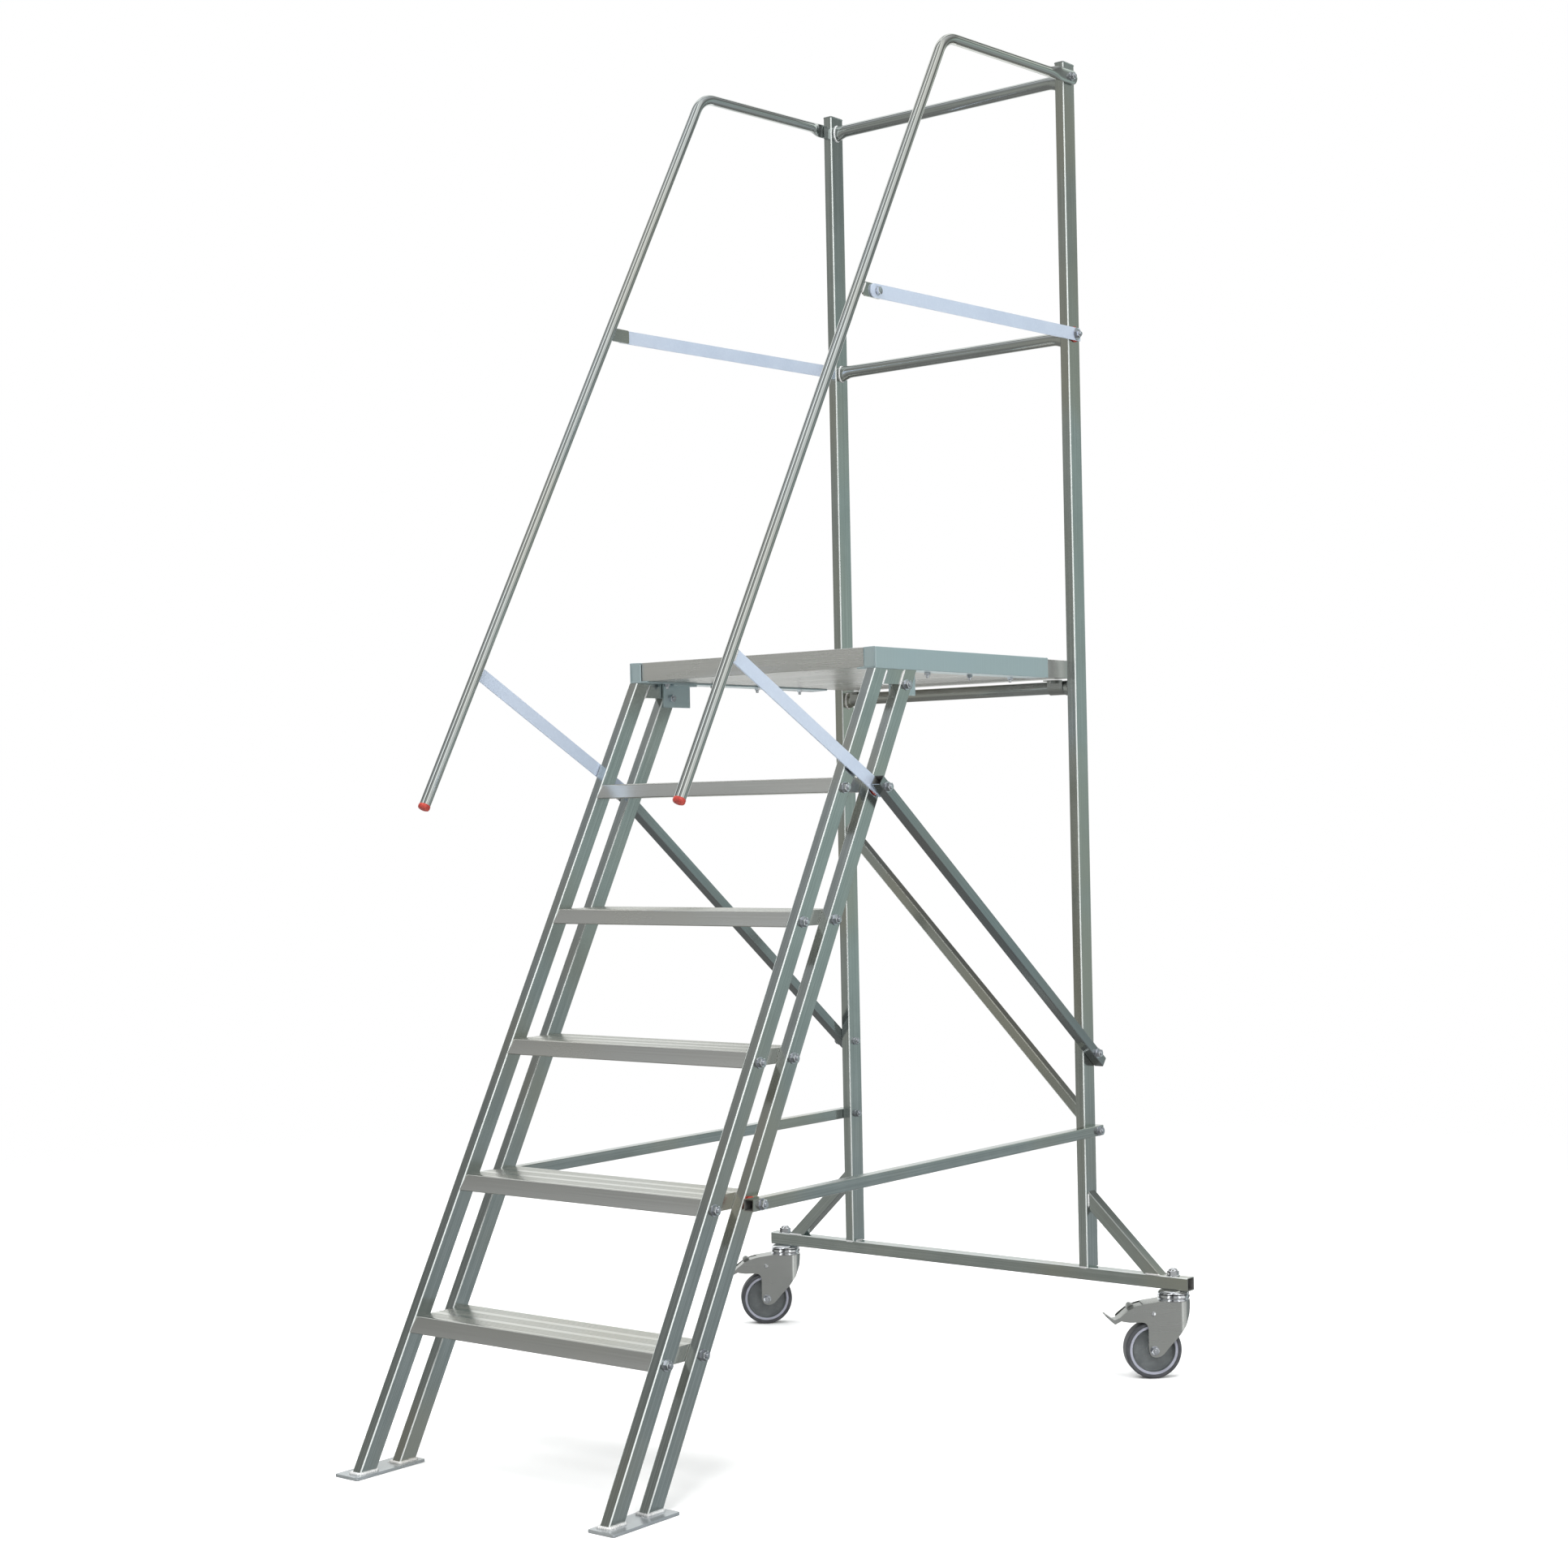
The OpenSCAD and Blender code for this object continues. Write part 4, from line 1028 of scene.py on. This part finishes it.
def deck_fittings():
    """Angle brackets between the stiles and the deck, and the bolts up into the planks."""
    s, arms = Shape(), Shape()
    y0 = corner("deck_brackets", 0).y
    y1, drop, t = y0 + 76, 44, 4
    for sign in (-1, 1):
        plate(arms, [(y0, -drop), (y1, -drop), (y1, 0), (y0, 0)],
              sign * (INNER_X - t), sign * (INNER_X - 0.05), DECK_LOW)
        plate(arms, [(y0 + 8, -t), (y1, -t), (y1, 0), (y0 + 8, 0)],
              sign * (INNER_X - 22.0), sign * (INNER_X - 3.0), DECK_LOW)
        at = Vector((sign * STILE_X, rear_mid(BRACKET_Z), BRACKET_Z))
        nut(s, at, X * sign, 3.0, 4.0, *BIG_HEX, 10.0)
        nut(s, Vector((sign * (INNER_X - t), at.y, at.z)), X * -sign, 4.5)
        for y in (795.7, 931.0, 1066.0, 1202.0):
            nut(s, Vector((sign * 255.0, y, DECK_LOW)), -Z, 5.0, 3.0, 10.0, 5.0)
    build(arms, "deck_bracket_pair", "frame", "channel", ("deck_brackets",), bevel=0.5)
    build(s, "deck_bolt_set", "frame", "bright", ("deck_bolts",), sharp=24)


def deck_clips():
    """Saddles about the rail under the deck, each a bent strip with two ears and two bolts."""
    rail_z = (corner("deck_rail", 0).z + corner("deck_rail", 1).z) / 2
    r, t, ear, clip_x, wide = 12.6, 2.0, 16.0, 243.0, 34.0
    outline = []
    for out_r in (r, r + t):
        ear_z = DECK_LOW - rail_z - (out_r - r)
        line = [(-r - ear, ear_z), (-out_r, ear_z)] + arc(0, 0, out_r, 180, 360, 16) \
            + [(out_r, ear_z), (r + ear, ear_z)]
        outline += line if out_r == r else line[::-1]
    s = Shape()
    for sign in (-1, 1):
        s.section(outline, lambda a, b: Vector(
            (sign * clip_x - wide / 2, MAST_MID + a, rail_z + b)), X * wide)
        for y in (-r - 9, r + 9):
            stud(s, Vector((sign * clip_x, MAST_MID + y, DECK_LOW - t)), -Z, 0.0, 10.0, 4.0)
    build(s, "deck_clip_pair", "frame", "press", ("deck_clips",), sharp=30)


def frame_welds():
    """Beads where the masts, gussets and the diagonal meet."""
    s = Shape()
    half = TUBE / 2
    for sign in (-1, 1):
        for y in (MAST_LO.y, MAST_HI.y):
            bead(s, [Vector((sign * x, y, BEAM_HI.z + 0.5))
                     for x in (MAST_IN + 1, (MAST_IN + MAST_X) / 2, MAST_X - 1)], 2.2)
        bead(s, [Vector((sign * MAST_IN, MAST_MID + y, BEAM_HI.z + 0.5)) for y in (-11, 0, 11)],
             2.2)
        for y in (MAST_MID - BEAM / 2, MAST_MID + BEAM / 2):
            bead(s, [Vector((sign * (MAST_X + 0.4), y, GUSSET_RISE + z)) for z in (-13, 0, 13)],
                 2.0)
            bead(s, [Vector((sign * (GUSSET_REACH + x), y, BEAM_HI.z + 0.4))
                     for x in (-15, 2, 18)], 2.0)
        z = DIAGONAL_LOW if sign > 0 else DIAGONAL_HIGH
        for y in (MAST_MID - half, MAST_MID + half):
            bead(s, [Vector((sign * (MAST_IN - 0.4), y, z + b)) for b in (-12, 0, 12)], 1.9)
        for b in (-14, 14):
            bead(s, [Vector((sign * (MAST_IN - 0.4), MAST_MID + y, z + b))
                     for y in (-9, 0, 9)], 1.9)
    build(s, "frame_welds", "frame", "weld", slot="base_beam", sharp=60, weighted=False)


rails()
stays()
bolts()
deck_fittings()
deck_clips()
frame_welds()

# ---- casters ---------------------------------------------------------------------------

# heights are above the floor; the wheel trails toward +x until the seat matrix turns it
HEADING, TRAIL, WHEEL_R, SEAT_X = rad(222.8), 43.0, 54.0, 473.0
RING_LOW, FORK_TOP, RIVET = 145.0, 147.0, (44.0, 124.0)
CHEEK, GAP, SHELL_BACK = 3.0, 19.0, -9.0
FORK_SIDE = [(-31, 147), (-30.5, 138), (-28, 122), (-20, 100), (-5.5, 80), (12, 62), (26, 46),
             (34, 41.5), (43, 41), (50, 44.5), (54, 54), (54, 98), (58, 106), (66, 108.5),
             (89, 108.5), (104, 111), (111, 115), (107, 120), (91, 132), (75, 139), (59, 143),
             (43, 145), (30, 147)]
PEDAL_SIDE = [(50, 141.5), (46, 138), (44, 121), (96, 115), (104, 110), (108, 108), (116, 104),
              (120, 107), (136, 122), (133.5, 124.5), (118, 113), (112, 114), (105, 119.5),
              (92, 130.5), (76, 137.8), (62, 141.0)]


def eased(outline, r, steps=3):
    """Outline with each corner rounded by about r."""
    points = []
    count = len(outline)
    for i, here in enumerate(outline):
        here = Vector(here)
        before, after = Vector(outline[i - 1]), Vector(outline[(i + 1) % count])
        back, ahead = before - here, after - here
        cut = min(r, back.length * 0.45, ahead.length * 0.45)
        a, b = here + back.normalized() * cut, here + ahead.normalized() * cut
        for k in range(steps + 1):
            t = k / steps
            points.append(tuple(a * (1 - t) ** 2 + here * 2 * t * (1 - t) + b * t * t))
    return points


def solid(shape):
    """Scratch object from a shape, for the boolean steps."""
    mesh = bpy.data.meshes.new("scratch")
    mesh.from_pydata(shape.verts, [], shape.faces)
    work = bmesh.new()
    work.from_mesh(mesh)
    bmesh.ops.remove_doubles(work, verts=work.verts, dist=1e-4)
    bmesh.ops.recalc_face_normals(work, faces=work.faces)
    work.to_mesh(mesh)
    work.free()
    piece = bpy.data.objects.new("scratch", mesh)
    bpy.context.scene.collection.objects.link(piece)
    return piece


def combine(piece, other, operation):
    """Replaces a scratch object's mesh by its intersection or difference with another's."""
    step = piece.modifiers.new("combine", "BOOLEAN")
    step.operation, step.object, step.solver = operation, other, "EXACT"
    bpy.context.view_layer.update()
    result = bpy.data.meshes.new_from_object(
        piece.evaluated_get(bpy.context.evaluated_depsgraph_get()))
    piece.modifiers.clear()
    piece.data = result
    bpy.data.objects.remove(other)
    return piece


def channel_shape(half, z0, z1, reach):
    """Upright prism, round at the back and straight-sided as far forward as reach."""
    outline = arc(SHELL_BACK, 0, half, 90, 270, 24) + [(reach, -half), (reach, half)]
    s = Shape()
    s.rings([[Vector((a, b, z)) for a, b in outline] for z in (z0, z1)])
    return s


def side_prism(outline, half):
    """Outline (x, z) given a width to both sides of the fork's middle."""
    s = Shape()
    s.rings([[Vector((a, y, b)) for a, b in outline] for y in (-half, half)])
    return s


def about_kingpin(x, y, h):
    return Vector((x, y, h))


def about_axle(x, y, h):
    return Vector((TRAIL + x, h, WHEEL_R + y))


def fork_mesh():
    """Pressed shell: two cheeks, a round back and a crown, with softened outer edges."""
    wide = GAP + CHEEK
    body = combine(solid(side_prism(eased(FORK_SIDE, 3.0), wide + 1)),
                   solid(channel_shape(wide, -5, FORK_TOP, 200)), "INTERSECT")
    work = bmesh.new()
    work.from_mesh(body.data)
    edges = [e for e in work.edges if len(e.link_faces) == 2 and e.calc_face_angle(0) > rad(55)]
    bmesh.ops.bevel(work, geom=edges, offset=1.6, segments=3, profile=0.6, affect="EDGES",
                    clamp_overlap=True)
    work.to_mesh(body.data)
    work.free()
    body = combine(body, solid(channel_shape(GAP, -6, RING_LOW - 3, 220)), "DIFFERENCE")
    pin, hole = Shape(), Shape()
    lathe(pin, [(4.2, -40), (4.2, 40)], about_axle, 32)
    lathe(hole, [(8.5, RING_LOW - 8), (8.5, RING_LOW + 8)], about_kingpin, 32)
    for tool in (pin, hole):
        body = combine(body, solid(tool), "DIFFERENCE")
    return body


def from_mesh(source):
    """Shape of a scratch object, which is removed."""
    s = Shape()
    s.verts = [v.co.copy() for v in source.data.vertices]
    for polygon in source.data.polygons:
        ids = list(polygon.vertices)
        uv = [((s.verts[i].x + s.verts[i].y) * MM, s.verts[i].z * MM) for i in ids]
        s.face(ids, uv)
    bpy.data.objects.remove(source)
    return s


def caster_stem():
    s = Shape()
    lathe(s, [(4, 165.9), (20.5, 165.9), (24.5, 165.2), (28.2, 163.0), (30.3, 160.4),
              (30.2, 159.3), (28.6, 159.1), (8, 159.1),
              (8, 141.5), (12, 141.5), (12, 134.2), (10.8, 133), (0.5, 133)], about_kingpin, 64)
    top = BEAM_HI.z
    disc(s, Z * top, Z, 5.0, 13.0, 1.6)
    hex_head(s, Z * (top + 1.6), Z, 0.4, 20.0, 8.5)
    lathe(s, [(8.9, top + 9.2), (8.7, top + 11.4), (7.4, top + 13.4), (4.6, top + 14.6),
              (0.8, top + 15.0)], about_kingpin, 40)
    return s


def fork(shell):
    """Pressed shell with the ball ring on top and the rivet through both cheeks."""
    s, ring = Shape(), Shape()
    s.take(shell)
    lathe(ring, [(18, 147.2), (18, 158.3), (27.5, 158.3), (29.8, 157.4), (31.0, 155.0),
                 (30.8, 152.0), (29.2, 149.8), (28.6, 148.8), (30.7, 148.2), (31.2, 147.0),
                 (30.7, 145.8), (29.0, 145.2), (18.4, 145.2)], about_kingpin, 64, loop=True)
    s.take(ring, 1)
    for sign in (-1, 1):
        at = Vector((RIVET[0], sign * (GAP + CHEEK - 0.2), RIVET[1]))
        face = Shape()
        lathe(face, [(4.6, 0), (4.6, 0.8), (3.6, 2.1), (0.8, 2.6)],
              lambda x, y, h: at + Vector((x, sign * h, y)), 24)
        s.take(face, 1)
    rod(s, (RIVET[0], -GAP - 1, RIVET[1]), (RIVET[0], GAP + 1, RIVET[1]), 3.0)
    return s


def axle():
    s = Shape()
    rod(s, (TRAIL, -GAP - 4, WHEEL_R), (TRAIL, GAP + 4, WHEEL_R), 4.0)
    wide = GAP + CHEEK + 0.05
    stud(s, Vector((TRAIL, -wide, WHEEL_R)), -Y, 9.0, 13.0, 5.5, 0.2)
    nut(s, Vector((TRAIL, wide, WHEEL_R)), Y, 4.0, 4.0, 13.0, 7.0, 9.0)
    return s


def hub():
    s = Shape()
    half = [(4.3, -18), (10.6, -18), (11, -17.4), (11.2, -7), (13.5, -5.4), (37.5, -5.4),
            (40.2, -7.5), (41, -14.2), (41.8, -15), (45.9, -15)]
    lathe(s, half + [(r, -w) for r, w in reversed(half)], about_axle, 96, loop=True)
    return s


def tyre():
    """Rubber ring, with a thin rim strip on each flank."""
    s = Shape()
    half = [(46, -15.0), (46.8, -15.6)] \
        + [(r, -w) for w, r in arc(12.5, 50.5, 3.5, 0, 90, 6)] + [(54, -4)]
    lathe(s, half + [(r, -w) for r, w in reversed(half)], about_axle, 128, loop=True)
    for sign in (-1, 1):
        lathe(s, [(41.6, sign * 15.2), (46.2, sign * 15.9), (46.2, sign * 14.4),
                  (41.6, sign * 14.4)], about_axle, 96, 1, loop=True)
    return s


def pedal():
    s = Shape()
    s.take(side_prism(eased(PEDAL_SIDE, 1.6), 14.0))
    for t, z, r, half in ((RIVET[0], RIVET[1], 6.5, 14.2), (86.0, 136.5, 7.0, 6.5)):
        pin = Shape()
        lathe(pin, [(r - 1.2, -half), (r, 1.2 - half), (r, half - 1.2), (r - 1.2, half)],
              lambda x, y, h: Vector((t + x, h, z + y)), 36)
        s.take(pin)
    return s


def casters():
    shell = from_mesh(fork_mesh())
    for label, sign in SIDES:
        seat = Matrix.Translation((sign * SEAT_X, MAST_MID, 0)) \
            @ Matrix.Rotation(HEADING, 4, "Z")
        swivel, wheel, brake = "swivel_" + label, "wheel_" + label, "brake_" + label
        for s, name, body, look, node, options in (
                (caster_stem(), "caster_stem_%s_set", "frame", "chrome", "caster_stem_",
                 {"sharp": 35}),
                (fork(shell), "fork_%s_shell", swivel, ("press", "chrome"), "fork_",
                 {"sharp": 38}),
                (axle(), "axle_%s_bolt", swivel, "bright", "axle_", {"sharp": 24}),
                (hub(), "hub_%s_disc", wheel, "hub", "hub_", {"sharp": 35}),
                (tyre(), "tyre_%s_ring", wheel, ("tyre", "rim"), "tyre_",
                 {"sharp": 40, "weighted": False}),
                (pedal(), "pedal_%s_lever", brake, "press", "pedal_",
                 {"sharp": 35, "bevel": 0.7})):
            s.moved(seat)
            build(s, name % label, body, look, (node + label,), **options)


casters()

# ---- studio ------------------------------------------------------------------------


def direction(turn, rise=0.0):
    """Direction by its turn from the front right of the ladder, and by its rise."""
    a = rad(turn - 51.5)
    return (math.cos(a), math.sin(a), rise)


def studio_world(scene):
    """Room seen in the metal: a ramp by height, upright strips and soft bright patches."""
    world = bpy.data.worlds.new("studio")
    scene.world = world
    world.use_nodes = True
    world.node_tree.nodes.clear()
    n = Nodes(world.node_tree)
    ray = n.add("ShaderNodeTexCoord").outputs["Generated"]
    height = n.add("ShaderNodeSeparateXYZ", inputs={0: ray}).outputs[2]
    ramp = n.add("ShaderNodeValToRGB", inputs={0: n.spread(height, -1, 1, 0, 1, False)})
    stops = ((0.0, (0.20, 0.20, 0.195)), (0.42, (0.22, 0.225, 0.22)), (0.50, (0.23, 0.24, 0.235)),
             (0.60, (0.15, 0.158, 0.155)), (0.74, (0.20, 0.205, 0.20)), (1.0, (0.75, 0.77, 0.80)))
    items = ramp.color_ramp.elements
    while len(items) < len(stops):
        items.new(0.5)
    for item, (place, colour) in zip(items, stops):
        item.position, item.color = place, (*colour, 1)
    level = n.add("ShaderNodeVectorMath", operation="MULTIPLY",
                  inputs={0: ray, 1: (1.0, 1.0, 0.0)}).outputs["Vector"]
    level = n.add("ShaderNodeVectorMath", operation="NORMALIZE",
                  inputs={0: level}).outputs["Vector"]

    def share(source, toward, wide, narrow):
        """How far a ray is inside the patch about a direction."""
        near = n.add("ShaderNodeVectorMath", operation="DOT_PRODUCT",
                     inputs={0: source, 1: Vector(toward).normalized()}).outputs["Value"]
        return n.spread(near, math.cos(rad(wide)), math.cos(rad(narrow)))

    total = ramp.outputs[0]
    for turn, wide, narrow, tone in ((-45, 11, 5, 1.8), (-16, 10, 4, 0.09), (8, 17, 9, 0.42),
                                     (62, 24, 10, 0.80), (35, 11, 5, 1.25), (-120, 12, 5, 0.08),
                                     (-150, 22, 10, 1.0), (140, 12, 5, 0.08), (165, 16, 8, 1.2)):
        strip = share(level, direction(turn), wide, narrow)
        strip = n.maths("MULTIPLY", strip, n.spread(height, -0.6, -0.4))
        total = n.mix(strip, total, (tone, tone * 1.02, tone * 1.01))
    for toward, wide, narrow, colour in ((direction(105, -0.08), 28, 8, (0.26, 0.29, 0.285)),
                                         (direction(105, -0.36), 24, 8, (0.34, 0.375, 0.385)),
                                         (direction(105, 0.05), 12, 4, (0.42, 0.51, 0.49)),
                                         ((-0.62, 0.78, 0.25), 44, 22, (0.88, 0.90, 0.885)),
                                         ((0.28, 0.86, 0.35), 14, 7, (0.95, 1.05, 0.98)),
                                         (direction(-77), 34, 18, (0.32, 0.33, 0.31))):
        total = n.mix(share(ray, toward, wide, narrow), total, colour)
    flag = n.add("ShaderNodeLightPath").outputs["Is Camera Ray"]
    total = n.mix(flag, total, (1.0, 1.0, 1.0))
    shade = n.add("ShaderNodeBackground", inputs={"Color": total, "Strength": 1.0})
    out = n.add("ShaderNodeOutputWorld")
    n.link(shade.outputs[0], out.inputs[0])


def studio_floor(scene):
    """Round pale floor that fades out toward its edge and isn't seen in the metal."""
    mesh = bpy.data.meshes.new("floor")
    ring = circle(Vector(), X, Y, 6.0, 64)
    mesh.from_pydata(ring, [], [list(range(len(ring)))])
    floor = bpy.data.objects.new("floor", mesh)
    floor.location = (0.0, 0.7, -0.0005)
    scene.collection.objects.link(floor)
    floor.visible_glossy = False
    material, n, shader = new_material("pale_floor")
    at = n.add("ShaderNodeTexCoord").outputs["Object"]
    colour = n.mix(n.noise(at, 3.0), (0.87, 0.87, 0.87), (0.89, 0.89, 0.89))
    n.link(colour, shader.inputs["Base Color"])
    shader.inputs["Roughness"].default_value = 0.8
    shader.inputs["Specular IOR Level"].default_value = 0.1
    far = n.add("ShaderNodeVectorMath", operation="LENGTH", inputs={0: at}).outputs["Value"]
    n.link(n.spread(far, 1.6, 4.5, 1.0, 0.0), shader.inputs["Alpha"])
    mesh.materials.append(material)


def studio_lamps(scene):
    for name, place, aim, size, power in (
            ("key", (1.5, -3.5, 4.5), (0.0, 0.8, 0.8), 3.0, 260),
            ("fill", (-3.5, 0.0, 4.0), (0.0, 0.8, 0.8), 3.0, 120),
            ("top", (0.0, 1.0, 5.5), (0.0, 0.8, 0.0), 4.0, 260),
            ("right", (4.5, 0.2, 2.6), (0.0, 0.8, 1.2), 3.0, 130)):
        data = bpy.data.lights.new(name, "AREA")
        data.shape, data.size, data.energy = "SQUARE", size, power
        lamp = bpy.data.objects.new(name, data)
        lamp.location = place
        lamp.rotation_euler = (Vector(aim) - Vector(place)).to_track_quat("-Z", "Y").to_euler()
        lamp.visible_glossy = False
        scene.collection.objects.link(lamp)


def studio():
    scene = bpy.context.scene
    scene.view_settings.view_transform = "Standard"
    scene.view_settings.look = "None"
    studio_world(scene)
    studio_floor(scene)
    studio_lamps(scene)


studio()
